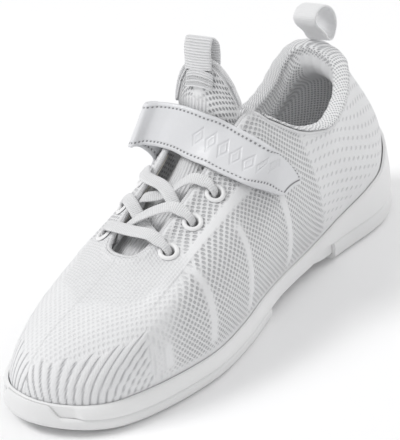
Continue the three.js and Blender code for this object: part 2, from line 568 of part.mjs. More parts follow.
add("tongue_tab", "webbing", webbing([
  tabFront, [tabFront[0] + 0.4, tabFront[1] + 4.5, 0.02], [tabFront[0] + 1, TAB_TOP - 4.2, 0.01],
  [tabFront[0] + 3.6, TAB_TOP, 0], [tabFront[0] + 6.8, TAB_TOP - 3.6, 0.01],
  [tabBack[0] + 0.9, TAB_TOP - 8.5, 0.02], tabBack,
], { across: new THREE.Vector3(1, TONGUE_TURN, 0).normalize() }));
// The heel loop's middle line (y, z). It stands over the back of the collar, a little to the inner side.
const HEEL_LOOP = [
  [109.4, 86.8], [112.4, 90.8], [112.8, 96], [110.2, 101.4], [105, 105], [99.6, 105],
  [96.6, 102], [97.6, 97.6], [100.6, 93.4], [103.2, 90], [105.6, 86.8],
];
const HEEL_LOOP_X = -6;
add("heel_tab", "satin", webbing(HEEL_LOOP,
  { x: HEEL_LOOP_X, across: new THREE.Vector3(1, 0, 0.12).normalize(), closed: true }));

// ---- lace ----
// One flat elastic lace. Its middle line is a list of stations: [eyelet, height over the knit, step
// toward the throat], [x, y, z], or a place under the knit. It starts and ends sewn under the top eyelets.
const inside = -(INNER_FLANGE.depth + INNER_FLANGE.height + 2 * EASE + LACE_THICKNESS / 2);
const over = FLANGE + 2 * EASE + LACE_THICKNESS / 2;
const eyeletNamed = (name) => eyelets.find((e) => e.name === `eyelet_${name}`);
function station(place) {
  if (place.phi) return upper(place.phi, place.v, place.depth);
  if (place.length === 3 && typeof place[0] === "number") return at(...place);
  const [name, height, inward = 0] = place;
  const { phi, v, side } = eyeletNamed(name);
  const { point, normal } = eyeletNamed(name);
  const slope = upper(phi, v + 0.05).sub(upper(phi, v - 0.05)).setY(0).normalize();
  if (side === "lateral" ? slope.x > 0 : slope.x < 0) slope.negate();
  return point.clone().addScaledVector(normal, height).addScaledVector(slope, inward);
}
const into = (name) => [[name, over, 5.2], [name, over - 0.1, 1.6], [name, over - 2.2, 0], [name, -KNIT, 0]];
const outOf = (name) => into(name).reverse();
const under = (name) => [[name, inside + 1.6, 0], [name, inside - 0.3, 2.5], [name, inside, 6]];
const from = (name) => under(name).reverse();
const LACE_ROUTE = [
  { phi: 296, v: 0.78, depth: 5.6 }, { phi: 296, v: 0.82, depth: 6 }, ["medial_3", inside + 1.2, 0],
  ...outOf("medial_3"),
  [-11, -19.5, 72.4], [0, -21.5, 71.4], [8, -25, 67],
  ...from("lateral_2"), ...outOf("lateral_2"),
  [11, -30, 68.2], [0, -36.5, 64.2], [-8, -41, 57.2],
  ...from("medial_1"), ...outOf("medial_1"),
  [-10.5, -45, 60.3], [0, -45.6, 61.2], [10.5, -45, 61.6],
  ...into("lateral_1"), ...under("lateral_1"),
  [8.5, -40.5, 56.6], [0, -36.8, 59.9], [-10, -32.2, 65.8],
  ...into("medial_2"), ...under("medial_2"),
  [-8.5, -26, 65], [0, -21.6, 67.4], [10.5, -14.5, 74.6],
  ...into("lateral_3"), ["lateral_3", inside + 1.2, 0], { phi: 65.5, v: 0.84, depth: 6 },
  { phi: 65.5, v: 0.8, depth: 5.6 },
];
const laceCurve = new THREE.CatmullRomCurve3(LACE_ROUTE.map(station), false, "centripetal");
const LACE_STEPS = 140;
const lacePoints = along(LACE_STEPS, 0, 1).map((s) => laceCurve.getPointAt(s));
const rowLine = eyeletNamed("lateral_3").point.clone().sub(eyeletNamed("lateral_1").point)
  .add(eyeletNamed("medial_3").point).sub(eyeletNamed("medial_1").point).setX(0).normalize();
function laceSize(i) {
  const gap = Math.min(...eyelets.map(({ point, normal }) => {
    const d = lacePoints[i].clone().sub(point);
    const h = d.dot(normal);
    const r = d.addScaledVector(normal, -h).length();
    return Math.max(r, Math.abs(h + 1.2) - 1.2);
  }));
  return [mix(3.7, LACE_WIDTH, smooth(2.2, 6.5, gap)), LACE_THICKNESS];
}
add("lace", "cord", ribbon(lacePoints, () => rowLine, laceSize));

// ---- strap ----
// Height of the strap's outer face over the knit, with the two patches between them.
const STRAP_HEIGHT = 5 * EASE + 2 * FACET + 2 * PATCH + STRAP_LINING + STRAP;
const ROOT_HEIGHT = STRAP + EASE + FACET;
// The strap's rear and front edges, from its end on the inner side, over the tongue, to the outer side.
// On the knit a row is phi and v of the rear edge, phi and v of the front edge and the height over the
// knit; in the open it is x, y, z of the rear edge, then of the front edge.
const STRAP_ROWS = [
  [258, 0.62, 270, 0.5, ROOT_HEIGHT], [263, 0.8, 275, 0.64, ROOT_HEIGHT],
  [267, 0.93, 280, 0.78, ROOT_HEIGHT], [-23.6, 8.6, 93.8, -28.2, -2.6, 75],
  [-25.2, 1.6, 96.2, -30.4, -7, 76.3], [-21.6, -2.2, 97.6, -27.2, -8.6, 77.4],
  [-16.4, 1, 98.4, -23.6, -5.6, 77.6], [-10.6, 2.4, 98.6, -18.2, -4.4, 78.1],
  [-4.6, 2.8, 98.4, -12.2, -4.5, 78.9], [1.4, 3.4, 97.4, -6.5, -4.6, 78.8],
  [6.3, 4.6, 95.3, -0.8, -5, 78.6], [10.3, 6.9, 93.4, 5.5, -6, 78.8], [14.6, 9.6, 91, 12, -7.4, 78.8],
  [88.2, 0.974, 70.7, 0.971, 3.5], [90.5, 0.916, 72.5, 0.916, 4.4], [93.2, 0.858, 75, 0.863, 5],
  [95.5, 0.811, 77.7, 0.806, STRAP_HEIGHT], [101.5, 0.78, 81.3, 0.744, STRAP_HEIGHT],
  [106, 0.742, 85, 0.681, STRAP_HEIGHT], [109.4, 0.689, 88.5, 0.617, STRAP_HEIGHT],
  [112.6, 0.638, 91.8, 0.556, STRAP_HEIGHT],
];
const strapStations = STRAP_ROWS.map((row) => {
  const onKnit = row.length === 5;
  const place = onKnit
    ? (k) => upper(mix(row[0], row[2], k), mix(row[1], row[3], k), -row[4])
    : (k) => at(...row.slice(0, 3)).lerp(at(...row.slice(3)), k);
  const half = STRAP_WIDTH / 2 / place(0).distanceTo(place(1));
  return [place(0.5 - half), place(0.5), place(0.5 + half)];
});
const strapRails = [0, 1, 2].map((k) =>
  new THREE.CatmullRomCurve3(strapStations.map((s) => s[k]), false, "centripetal"));
// s runs from the seam to the tip, k across from the rear edge (0) to the front edge (1).
function strapFace(s, k) {
  const [a, b, c] = strapRails.map((rail) => rail.getPoint(s));
  return a.multiplyScalar((2 * k - 1) * (k - 1)).addScaledVector(b, 4 * k * (1 - k))
    .addScaledVector(c, k * (2 * k - 1));
}
function strapAt(s, k, depth) {
  const ds = strapFace(Math.min(s + 0.01, 1), k).sub(strapFace(Math.max(s - 0.01, 0), k));
  const dk = strapFace(s, k + 0.02).sub(strapFace(s, k - 0.02));
  return strapFace(s, k).addScaledVector(dk.cross(ds).normalize(), -depth);
}
const STRAP_SEAM = 0.133; // end of the stretch that is sewn down
const STRAP_TIP = 0.945; // where the corners of the end start
const STRAP_CORNER = 0.27; // their radius, as a share of the width
function strapPiece(from, to, outer, inner, margin, steps) {
  const body = along(steps, from, Math.min(to, STRAP_TIP));
  const tip = to > STRAP_TIP ? along(4, 0, 1).slice(1).map((q) => mix(STRAP_TIP, to, Math.sqrt(q))) : [];
  const grid = (depth) => [...body, ...tip].map((s) => {
    const q = Math.max(0, (s - STRAP_TIP) / (1 - STRAP_TIP));
    const half = 0.5 - margin - STRAP_CORNER * (1 - Math.sqrt(1 - Math.min(q, 1) ** 2));
    return along(4, 0.5 - half, 0.5 + half).map((k) => strapAt(s, k, depth));
  });
  return sheet(grid(outer), grid(inner));
}
add("strap_root", "coated", strapPiece(0, STRAP_SEAM - 0.0015, 0, STRAP, 0, 4));
add("strap", "coated", strapPiece(STRAP_SEAM + 0.0015, 1, 0, STRAP, 0, 33));
const liningDepth = STRAP + EASE;
add("strap_lining", "lining",
  strapPiece(0.34, 0.98, liningDepth, liningDepth + STRAP_LINING, 0.05, 26));
const hookDepth = liningDepth + STRAP_LINING + EASE;
add("hook_patch", "grip", strapPiece(0.79, 0.94, hookDepth, hookDepth + PATCH, 0.12, 8));
const LOOP_ROWS = { low: 0.63, high: 0.8 }; // v of the loop patch's lower and upper edge
const loopPhis = (v) => {
  const down = (LOOP_ROWS.high - v) / (LOOP_ROWS.high - LOOP_ROWS.low);
  return [mix(82, 92, down), mix(93, 107, down)];
};
const loopGrid = (depth) => along(5, LOOP_ROWS.low, LOOP_ROWS.high)
  .map((v) => along(6, ...loopPhis(v)).map((phi) => upper(phi, v, depth)));
add("loop_patch", "grip", sheet(loopGrid(-EASE - PATCH), loopGrid(-EASE)));

// The frame's origin is under the middle of the whole shoe.
const bounds = new THREE.Box3().setFromObject(shoe);
const middle = bounds.getCenter(new THREE.Vector3());
shoe.position.set(-middle.x, -middle.y, -bounds.min.z);

export default shoe;
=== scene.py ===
# %% [markdown]
# # A cheer shoe, piece by piece
# This lesson dresses one low cheer shoe: a knit upper, a padded collar and tongue, a flat lace, a strap
# over the instep, two pull tabs and a rubber cup sole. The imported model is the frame: it says where every
# part sits and what moves. Each visible part is then worked out again here as a fine surface in numpy.
# Lengths are in millimetres until a mesh is made, because a shoe's sizes are easier to read that way.

# %% Load the frame
import math

import bmesh
import bpy
import numpy as np
from mathutils import Matrix, Vector


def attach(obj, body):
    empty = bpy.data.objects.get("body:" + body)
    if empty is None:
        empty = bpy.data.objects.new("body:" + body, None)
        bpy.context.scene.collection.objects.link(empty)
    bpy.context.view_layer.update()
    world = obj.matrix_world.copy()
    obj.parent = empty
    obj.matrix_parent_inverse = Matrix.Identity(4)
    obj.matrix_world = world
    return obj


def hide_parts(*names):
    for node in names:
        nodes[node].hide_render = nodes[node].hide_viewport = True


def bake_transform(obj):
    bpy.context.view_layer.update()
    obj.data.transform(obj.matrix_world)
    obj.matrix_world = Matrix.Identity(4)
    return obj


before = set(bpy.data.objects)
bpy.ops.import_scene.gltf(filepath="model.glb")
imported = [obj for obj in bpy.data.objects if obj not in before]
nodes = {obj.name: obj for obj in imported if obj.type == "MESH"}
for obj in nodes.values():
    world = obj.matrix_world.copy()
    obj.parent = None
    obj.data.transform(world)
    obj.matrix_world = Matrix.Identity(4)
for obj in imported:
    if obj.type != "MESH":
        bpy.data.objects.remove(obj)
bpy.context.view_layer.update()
MM = 0.001
SHIFT = np.array([-0.8498, -4.9194, 0.0])  # from the pattern's origin to the frame's, in millimetres

# %% [markdown]
# ## Curves through a few rows
# A last, the form that a shoe is pulled over, is drawn with a handful of sections. The tables below hold
# the sole's outline, the edge of the collar and throat, and how the upper leaves the one and meets the
# other. A smooth curve through the rows does the rest. A spline object would do too, but a formula that
# takes whole arrays gives any number of points at once.

# %% Curve helpers
def smooth(low, high, value):
    """Zero below low, one above high, and an S curve 3q^2 - 2q^3 between them."""
    q = np.clip((np.asarray(value, float) - low) / (high - low), 0, 1)
    return q * q * (3 - 2 * q)


def mix(a, b, share):
    """a + (b - a) * share."""
    return a + (b - a) * share


def unit(vectors):
    """Vectors divided by their lengths."""
    return vectors / np.maximum(np.linalg.norm(vectors, axis=-1, keepdims=True), 1e-12)


def dot(a, b):
    """Sum of products along the last axis, kept as a column."""
    return (a * b).sum(-1, keepdims=True)


def through_rows(table, place, period=None):
    """Cubic Hermite curve through a table's rows: its first column is the place, its slopes are those
    between each row's neighbours, and a period closes it on itself."""
    rows = np.array(table, float)
    place = np.asarray(place, float)
    if period:
        before, after = rows[-1:].copy(), rows[:2].copy()
        before[:, 0] -= period
        after[:, 0] += period
        rows = np.vstack([before, rows, after])
        place = np.mod(place, period)
    places, values = rows[:, 0], rows[:, 1:]
    last = len(rows) - 1
    low, high = np.maximum(np.arange(last + 1) - 1, 0), np.minimum(np.arange(last + 1) + 1, last)
    slopes = (values[high] - values[low]) / (places[high] - places[low])[:, None]
    place = np.clip(place, places[0], places[-1])
    i = np.clip(np.searchsorted(places, place, side="right") - 1, 0, last - 1)
    step = (places[i + 1] - places[i])[..., None]
    q = ((place - places[i])[..., None]) / step
    return (
        (2 * q**3 - 3 * q**2 + 1) * values[i]
        + (q**3 - 2 * q**2 + q) * step * slopes[i]
        + (3 * q**2 - 2 * q**3) * values[i + 1]
        + (q**3 - q**2) * step * slopes[i + 1]
    )


def catmull(points, place, closed=False):
    """Centripetal Catmull-Rom curve: place runs from 0 to 1 over equal shares of the points."""
    p = np.array(points, float)
    count = len(p)
    if closed:
        around = np.vstack([p[-1:], p, p[:2]])
        spans = count
    else:
        around = np.vstack([2 * p[:1] - p[1:2], p, 2 * p[-1:] - p[-2:-1]])
        spans = count - 1
    at = np.clip(np.asarray(place, float), 0, 1) * spans
    i = np.minimum(at.astype(int), spans - 1)
    q = (at - i)[..., None]
    a, b, c, d = (around[i + k] for k in range(4))
    gap = lambda u, w: np.maximum(np.linalg.norm(u - w, axis=-1, keepdims=True) ** 0.5, 1e-4)
    ab, bc, cd = gap(a, b), gap(b, c), gap(c, d)
    start = ((b - a) / ab - (c - a) / (ab + bc) + (c - b) / bc) * bc
    end = ((c - b) / bc - (d - b) / (bc + cd) + (d - c) / cd) * bc
    return b + start * q + (3 * (c - b) - 2 * start - end) * q**2 + (2 * (b - c) + start + end) * q**3


# %% The shoe's pattern
EASE = 0.3  # gap between pieces that touch
KNIT = 2.0  # upper fabric
LINING = 0.9
COLLAR_PAD = 5.5
TONGUE = 3.0
FEATHER_INSET = 4.0  # the upper stands this far inside the sole's widest line
# Widest line of the sole in plan, with the height of its wall: phi, x, y, wall. phi goes round the shoe
# in degrees: 0 toe, 90 outer side, 180 heel, 270 inner side.
PLAN = [
    (0, -5, -121, 15.5), (20, 13.5, -117, 14), (40, 29.5, -103, 12.5), (54, 38, -82, 12),
    (65, 42.3, -60, 11.5), (74, 43.3, -41, 11), (84, 40, -18, 11), (94, 35, 2, 11.2),
    (105, 31, 22, 11.2), (118, 28.6, 47, 12), (132, 28.7, 72, 17), (146, 29.6, 95, 22),
    (157, 27, 111, 26), (168, 17.5, 125.5, 35), (180, 1, 131, 40), (192, -15, 126, 35),
    (203, -25, 112, 26), (214, -28, 96, 22), (228, -27, 72, 18), (242, -25, 47, 14),
    (255, -26, 22, 13), (267, -31, 1, 12), (278, -36.5, -18, 11), (290, -40.5, -41, 11),
    (302, -41.5, -62, 11.5), (315, -38.5, -84, 12), (335, -25, -110, 13.5),
]
# Edge of the throat and the collar: phi, x, y, z.
TOPLINE = [
    (0, 0, -55, 53.5), (16, 8, -52.5, 54.5), (32, 11.5, -43, 58.5), (50, 12.3, -27, 66),
    (66, 12.7, -10, 74), (82, 14.5, 6, 83.5), (95, 17.5, 20.5, 93), (107, 21.5, 29.5, 86),
    (119, 25, 44.5, 75), (131, 26, 58, 69), (143, 25, 71, 66), (154, 20.5, 87, 68),
    (163, 15.5, 98, 72.5), (172, 8, 107, 79), (180, -2, 110.5, 82), (188, -12, 110.5, 83),
    (197, -21.5, 106, 80.5), (206, -26.5, 99, 73), (215, -27.5, 90, 65.5), (224, -27, 79, 62),
    (234, -26, 66, 62), (245, -24, 49, 67), (256, -20.5, 32, 79), (266, -17, 20, 88.5),
    (278, -14.5, 6, 82), (294, -12.7, -10, 73), (310, -12.3, -27, 65), (328, -11.5, -43, 57.5),
    (344, -8, -52.5, 54),
]
# phi, lean out at the sole in degrees, pull there, slope down from the edge in degrees, pull there.
RIBS = [
    (0, 0, 0.36, 26, 0.36), (20, 4, 0.38, 24, 0.38), (40, 8, 0.38, 26, 0.4), (60, 12, 0.36, 30, 0.4),
    (80, 17, 0.36, 44, 0.4), (95, 23, 0.38, 55, 0.38), (107, 27, 0.4, 62, 0.36),
    (119, 24, 0.38, 74, 0.34), (131, 18, 0.36, 84, 0.3), (143, 13, 0.36, 90, 0.3),
    (154, 8, 0.38, 88, 0.28), (163, 5, 0.38, 82, 0.26), (172, 2, 0.38, 78, 0.26),
    (180, 1, 0.38, 76, 0.26), (188, 2, 0.38, 78, 0.26), (197, 5, 0.38, 84, 0.28),
    (207, 8, 0.38, 88, 0.3), (219, 9, 0.36, 88, 0.3), (231, 9, 0.36, 84, 0.3),
    (243, 8, 0.36, 80, 0.3), (254, 5, 0.34, 72, 0.3), (266, 3, 0.34, 64, 0.3),
    (278, 0, 0.32, 56, 0.3), (294, -3, 0.32, 50, 0.3), (310, -5, 0.32, 46, 0.28),
    (328, -6, 0.32, 38, 0.26), (344, -4, 0.34, 30, 0.3),
]


def plan_at(phi):
    """Point of the sole's widest line on the floor, and the wall's height there."""
    values = through_rows(PLAN, phi, 360)
    point = values.copy()
    point[..., 2] = 0
    return point, values[..., 2]


def edge_at(phi):
    """Point of the collar and throat edge."""
    return through_rows(TOPLINE, phi, 360)


def outward(curve, phi):
    """Level direction out of a closed curve: its tangent turned a quarter."""
    step = curve(phi + 0.5) - curve(phi - 0.5)
    return unit(np.stack([step[..., 1], -step[..., 0], np.zeros_like(step[..., 0])], -1))


def sole_out(phi):
    """Level direction out of the sole."""
    return outward(lambda p: plan_at(p)[0], phi)


def rib_points(phi):
    """The four Bezier points of the rib of the upper at phi: it leaves the sole at its lean and meets the
    edge at its slope, each pulled by a share of the rib's length."""
    point, wall = plan_at(phi)
    out = sole_out(phi)
    start = point - out * FEATHER_INSET
    start[..., 2] = wall
    end = edge_at(phi)
    lean, pull, slope, end_pull = np.moveaxis(through_rows(RIBS, phi, 360), -1, 0)
    lean, slope = np.radians(lean), np.radians(slope)
    reach = np.linalg.norm(start - end, axis=-1)
    up = np.array([0.0, 0.0, 1.0])
    rise = out * np.sin(lean)[..., None] + up * np.cos(lean)[..., None]
    fall = outward(edge_at, phi) * np.cos(slope)[..., None] - up * np.sin(slope)[..., None]
    edge = unit(edge_at(phi + 1) - edge_at(phi - 1))
    around = np.mod(phi, 360)
    square = 0.6 * (1 - smooth(52, 84, np.minimum(around, 360 - around)))
    fall = unit(fall - edge * square[..., None] * dot(fall, edge))
    return start, start + rise * (pull * reach)[..., None], end + fall * (end_pull * reach)[..., None], end


def on_rib(phi, v):
    """Bezier point at share v of the rib at phi."""
    a, b, c, d = rib_points(phi)
    v = v[..., None]
    return (1 - v) ** 3 * a + 3 * (1 - v) ** 2 * v * b + 3 * (1 - v) * v**2 * c + v**3 * d


def upper_normal(phi, v):
    """Outward normal of the upper: the step round the shoe crossed with the step up the rib."""
    along_row = on_rib(phi + 0.5, v) - on_rib(phi - 0.5, v)
    return unit(np.cross(along_row, on_rib(phi, v + 0.01) - on_rib(phi, v - 0.01)))


def upper(phi, v, depth=0.0, rise=0.0):
    """Point of the upper, depth below its outer face; rise carries on past the edge along the rib."""
    phi, v, depth = np.broadcast_arrays(*(np.asarray(a, float) for a in (phi, v, depth)))
    point = on_rib(phi, v) - upper_normal(phi, v) * depth[..., None]
    if np.any(rise):
        end = on_rib(phi, np.ones_like(v)) - on_rib(phi, np.full_like(v, 0.98))
        point = point + unit(end) * np.asarray(rise)[..., None]
    return point


print("toe of the edge", upper(np.array(0.0), np.array(1.0)).round(1))

# %% [markdown]
# ## From a grid of points to a mesh
# Every new piece is a grid: rows and columns of points that a formula gave. One helper turns a grid into
# quads, another joins a front grid and a back grid into a closed slab, which suits tape, straps and
# padded cloth. Patterns that follow the cloth read an attribute, "weave", that holds each point's place
# on the flat cloth in millimetres, and masks say which knit is where.

# %% Mesh helpers
collection = bpy.context.scene.collection


def grid_faces(rows, cols, first=0, around=False, across=False):
    """Quads of a grid of rows x cols points. around joins the last column to the first, across the rows."""
    r = np.arange(rows if across else rows - 1)[:, None]
    c = np.arange(cols if around else cols - 1)[None, :]
    below, right = (r + 1) % rows, (c + 1) % cols
    quads = np.stack([r * cols + c, r * cols + right, below * cols + right, below * cols + c], -1)
    return quads.reshape(-1, 4) + first


def volume_of(points, faces):
    """Signed volume of a closed mesh of quads, from the fan of triangles of each face."""
    a, b, c, d = (points[faces[:, k]] for k in range(4))
    return (a * (np.cross(b, c) + np.cross(c, d))).sum() / 6


def make_piece(name, points, faces, weave=None, masks=None, body="shoe", slot=None, stands_for=(),
               finish=None):
    """Writes points (millimetres, pattern axes) and quads into a mesh, and says what it rides on."""
    points = np.asarray(points, float).reshape(-1, 3)
    mesh = bpy.data.meshes.new(name)
    mesh.from_pydata((points + SHIFT) * MM, [], faces.tolist() if isinstance(faces, np.ndarray) else faces)
    mesh.polygons.foreach_set("use_smooth", np.ones(len(mesh.polygons), bool))
    if weave is not None:
        flat = np.zeros((len(points), 3), np.float32)
        flat[:, :2] = np.asarray(weave).reshape(-1, 2)
        mesh.attributes.new("weave", "FLOAT_VECTOR", "POINT").data.foreach_set("vector", flat.ravel())
    for mask, values in (masks or {}).items():
        values = np.broadcast_to(values, (len(points),)) if np.ndim(values) < 1 else values
        mesh.attributes.new(mask, "FLOAT", "POINT").data.foreach_set(
            "value", np.asarray(values, np.float32).ravel())
    mesh.update()
    piece = bpy.data.objects.new(name, mesh)
    collection.objects.link(piece)
    if finish:
        mesh.materials.append(finish)
    if body:
        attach(piece, body)
    if stands_for:
        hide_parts(*stands_for)
    return piece


def slab(name, front, back, around=False, weave=None, masks=None, **facts):
    """Closed sheet between two grids of the same shape, rows x columns x 3, with rims round its sides."""
    rows, cols = front.shape[:2]
    points = np.concatenate([front.reshape(-1, 3), back.reshape(-1, 3)])
    count = rows * cols
    faces = [grid_faces(rows, cols, 0, around), grid_faces(rows, cols, count, around)[:, ::-1]]
    ends = [np.arange(cols), np.arange(cols) + (rows - 1) * cols]
    sides = [] if around else [np.arange(rows) * cols, np.arange(rows) * cols + cols - 1]
    for turn, line in zip((1, -1, -1, 1), ends + sides):
        ahead = np.roll(line, -1) if around else line[1:]
        here = line if around else line[:-1]
        faces.append(np.stack([here, here + count, ahead + count, ahead], -1)[:, ::turn])
    faces = np.concatenate(faces)
    if volume_of(points, faces) < 0:
        faces = faces[:, ::-1]
    if weave is not None:
        weave = np.concatenate([weave.reshape(-1, 2)] * 2)
    if masks:
        masks = {key: np.concatenate([np.broadcast_to(mask, (rows, cols)).ravel()] * 2)
                 for key, mask in masks.items()}
    return make_piece(name, points, faces, weave, masks, **facts)


def lengths(points, axis):
    """Running length along one axis of a grid of points."""
    steps = np.linalg.norm(np.diff(points, axis=axis), axis=-1)
    return np.concatenate([np.zeros_like(np.take(steps, [0], axis)), np.cumsum(steps, axis)], axis)


def normals_of(points, around=False):
    """Unit normals of a grid, from the differences along its rows and columns."""
    if around:
        wide = np.concatenate([points[:, -1:], points, points[:, :1]], 1)
        across = (wide[:, 2:] - wide[:, :-2])
    else:
        across = np.gradient(points, axis=1)
    return unit(np.cross(np.gradient(points, axis=0), across))

# %% [markdown]
# ## Finishes as written sums
# A finish is a small sum over the surface: a weave is a product of waves, a stitched line is a row of
# dots. Wrapping a shader socket in a class lets such a sum be written as one, and each operator adds its
# Math node. The whole shoe is white, so the finishes differ by their relief and their gloss: open knit,
# ribbed webbing, satin tape, coated strap, matt rubber.

# %% Shader sums
class Sum:
    """A number over the surface, held by a node's output socket."""

    def __init__(self, finish, socket):
        self.finish, self.socket = finish, socket

    def apply(self, operation, *others):
        """Math node of this value and others."""
        values = {i: value for i, value in enumerate((self, *others))}
        return self.finish.add("ShaderNodeMath", {"operation": operation}, values)

    def __add__(self, other):
        return self.apply("ADD", other)

    def __mul__(self, other):
        return self.apply("MULTIPLY", other)

    def __sub__(self, other):
        return self.apply("SUBTRACT", other)

    def __truediv__(self, other):
        return self.apply("DIVIDE", other)

    def __rsub__(self, other):
        return (self * -1) + other

    __radd__, __rmul__ = __add__, __mul__

    def wave(self, pitch):
        """Cosine of the value: 1 at every whole pitch, -1 half way between."""
        return (self * (2 * math.pi / pitch)).apply("COSINE")

    def part(self):
        """Fractional part, less a half: the place within a cell, -0.5 to 0.5."""
        return self.apply("FRACT") - 0.5

    def ramp(self, low, high):
        """S curve from 0 at low to 1 at high."""
        return self.finish.add(
            "ShaderNodeMapRange", {"interpolation_type": "SMOOTHSTEP"},
            {"Value": self, "From Min": low, "From Max": high}, "Result")


class Finish:
    """A material built node by node."""

    def __init__(self, name):
        self.material = bpy.data.materials.new(name)
        self.material.use_nodes = True
        self.tree = self.material.node_tree
        self.shader = self.tree.nodes["Principled BSDF"]

    def add(self, kind, settings=None, values=None, output=0):
        """Adds a node: settings first, then the values or links of its sockets. Gives one output."""
        node = self.tree.nodes.new(kind)
        for key, value in (settings or {}).items():
            setattr(node, key, value)
        for key, value in (values or {}).items():
            self.put(node.inputs[key], value)
        return Sum(self, node.outputs[output])

    def put(self, socket, value):
        """Links a sum to a socket, or sets the socket's own value."""
        if isinstance(value, Sum):
            self.tree.links.new(value.socket, socket)
        else:
            socket.default_value = value

    def attribute(self, name, output="Fac"):
        """A mask or a place that the mesh carries."""
        return self.add("ShaderNodeAttribute", {"attribute_name": name}, output=output)

    def parts(self, vector):
        """The three numbers of a vector."""
        node = self.add("ShaderNodeSeparateXYZ", values={0: vector}).socket.node
        return [Sum(self, node.outputs[i]) for i in range(3)]

    def weave(self):
        """Place on the flat cloth in millimetres, across and along."""
        return self.parts(self.attribute("weave", "Vector"))[:2]

    def place(self):
        """Place in the frame in millimetres."""
        spot = self.add("ShaderNodeTexCoord", output="Object")
        return [part * 1000 for part in self.parts(spot)]

    def noise(self, scale, detail=3.0):
        """Cloudy noise, 0 to 1, with scale features to the metre."""
        spot = self.add("ShaderNodeTexCoord", output="Object")
        return self.add("ShaderNodeTexNoise", {}, {"Vector": spot, "Scale": scale, "Detail": detail}, "Fac")

    def colour(self, mask, low, high):
        """Colour between low and high by a mask."""
        node = self.add("ShaderNodeMix", {"data_type": "RGBA"}).socket.node
        self.put(node.inputs[0], mask)
        self.put(node.inputs[6], (*low, 1))
        self.put(node.inputs[7], (*high, 1))
        return Sum(self, node.outputs[2])

    def relief(self, height, size, normal=None):
        """Bump of a height whose unit is size millimetres."""
        values = {"Height": height, "Distance": size * MM, "Strength": 1.0}
        if normal is not None:
            values["Normal"] = normal
        return self.add("ShaderNodeBump", {}, values)

    def close(self, colour, roughness, normal=None, sheen=0.0, coat=0.0):
        """Joins the sums to the shader, and gives the material."""
        self.put(self.shader.inputs["Base Color"], colour)
        self.put(self.shader.inputs["Roughness"], roughness)
        if normal is not None:
            self.put(self.shader.inputs["Normal"], normal)
        self.shader.inputs["Sheen Weight"].default_value = sheen
        self.shader.inputs["Sheen Roughness"].default_value = 0.5
        self.shader.inputs["Coat Weight"].default_value = coat
        self.shader.inputs["Specular IOR Level"].default_value = 0.35
        return self.material


def grid_dots(a, b, pitch, radius, blur):
    """Round dots at the middle of square cells: 1 inside the radius, 0 outside, blurred by blur."""
    x, y = (a / pitch).part() * pitch, (b / pitch).part() * pitch
    far = (x * x + y * y).apply("SQRT")
    return 1 - far.ramp(radius - blur, radius + blur)


WHITE = (0.86, 0.862, 0.87)
HOLE_SHADE = (0.33, 0.335, 0.35)
DIAGONAL = 0.7071

# %% [markdown]
# ## The knit
# The upper is one engineered knit whose stitch changes from zone to zone: a fan of ribs at the toe, an
# open mesh of small holes at the side, plain raised bands, a smoother heel with sparse dimples. One
# material holds them all, and masks on the mesh choose between them.

# %% Knit finish
def knit_finish():
    """Relief is the sum over zones of that zone's mask times its stitch."""
    f = Finish("knit")
    across, along = f.weave()
    x, y, _ = f.place()
    open_mesh, smooth_band, heel, fine, ahead, groove = (
        f.attribute(mask) for mask in ("open_mesh", "band", "heel", "fine", "ahead", "groove"))
    holes = grid_dots((across + along) * DIAGONAL, (across - along) * DIAGONAL, 2.0, 0.62, 0.22) * open_mesh
    bumps = grid_dots((x * 1.25 + y) * DIAGONAL, (y - x * 1.25) * DIAGONAL, 2.3, 0.6, 0.45) * fine
    cords = (x * 0.8 + y * 0.6).wave(1.75) * (y * 0.9 - x * 0.45).wave(2.6)
    dimples = grid_dots(across * 0.55 + along, across * 0.55 - along, 4.4, 0.85, 0.4) * heel
    loops = (across + along * 0.4).wave(0.95) * (along - across * 0.4).wave(0.8)
    wear = f.noise(45)
    height = (loops * 0.14 * (1 - smooth_band * 0.5) + f.noise(1400, 2) * 0.2 - holes * 1.5 - bumps * 0.7
              + cords * ahead * 0.4 - dimples * 0.8 - groove * 1.0)
    # Colour: the holes, pressed bumps, dimples, fan grooves and the gaps between cords and loops are darkened
    # as painted shade in these recesses; the noise terms are wear and random tone.
    painted_shade_and_tone = holes * 0.52 + bumps * 0.14 + dimples * 0.3 + groove * 0.6 + (1 - cords) * ahead * 0.1
    painted_shade_and_tone = (painted_shade_and_tone + (1 - loops) * 0.04 + wear * 0.08 + f.noise(1400, 2) * 0.08).apply("MINIMUM", 1.0)
    colour = f.colour(painted_shade_and_tone, WHITE, HOLE_SHADE)
    return f.close(colour, 0.86 + wear * 0.1, f.relief(height, 0.35), sheen=0.15)


knit = knit_finish()


# %% Finishes of tape, strap, lining, rubber and the rest
def pique_finish():
    """Lining: a dense grid of dots, in rows offset by half a cell."""
    f = Finish("lining_pique")
    across, along = f.weave()
    dots = grid_dots((across + along) * DIAGONAL, (across - along) * DIAGONAL, 1.45, 0.42, 0.22)
    plain = f.attribute("plain")
    wear = f.noise(60)
    dots = dots * (1 - plain)
    # The dots are darkened as painted shade in their recesses; the noise is wear, and the plain patch is a
    # little darker.
    colour = f.colour(dots * 0.75 + wear * 0.12 + plain * 0.12, WHITE, (0.34, 0.345, 0.36))
    return f.close(colour, 0.9, f.relief(f.noise(1600, 2) * 0.2 - dots, 0.3), sheen=0.2)


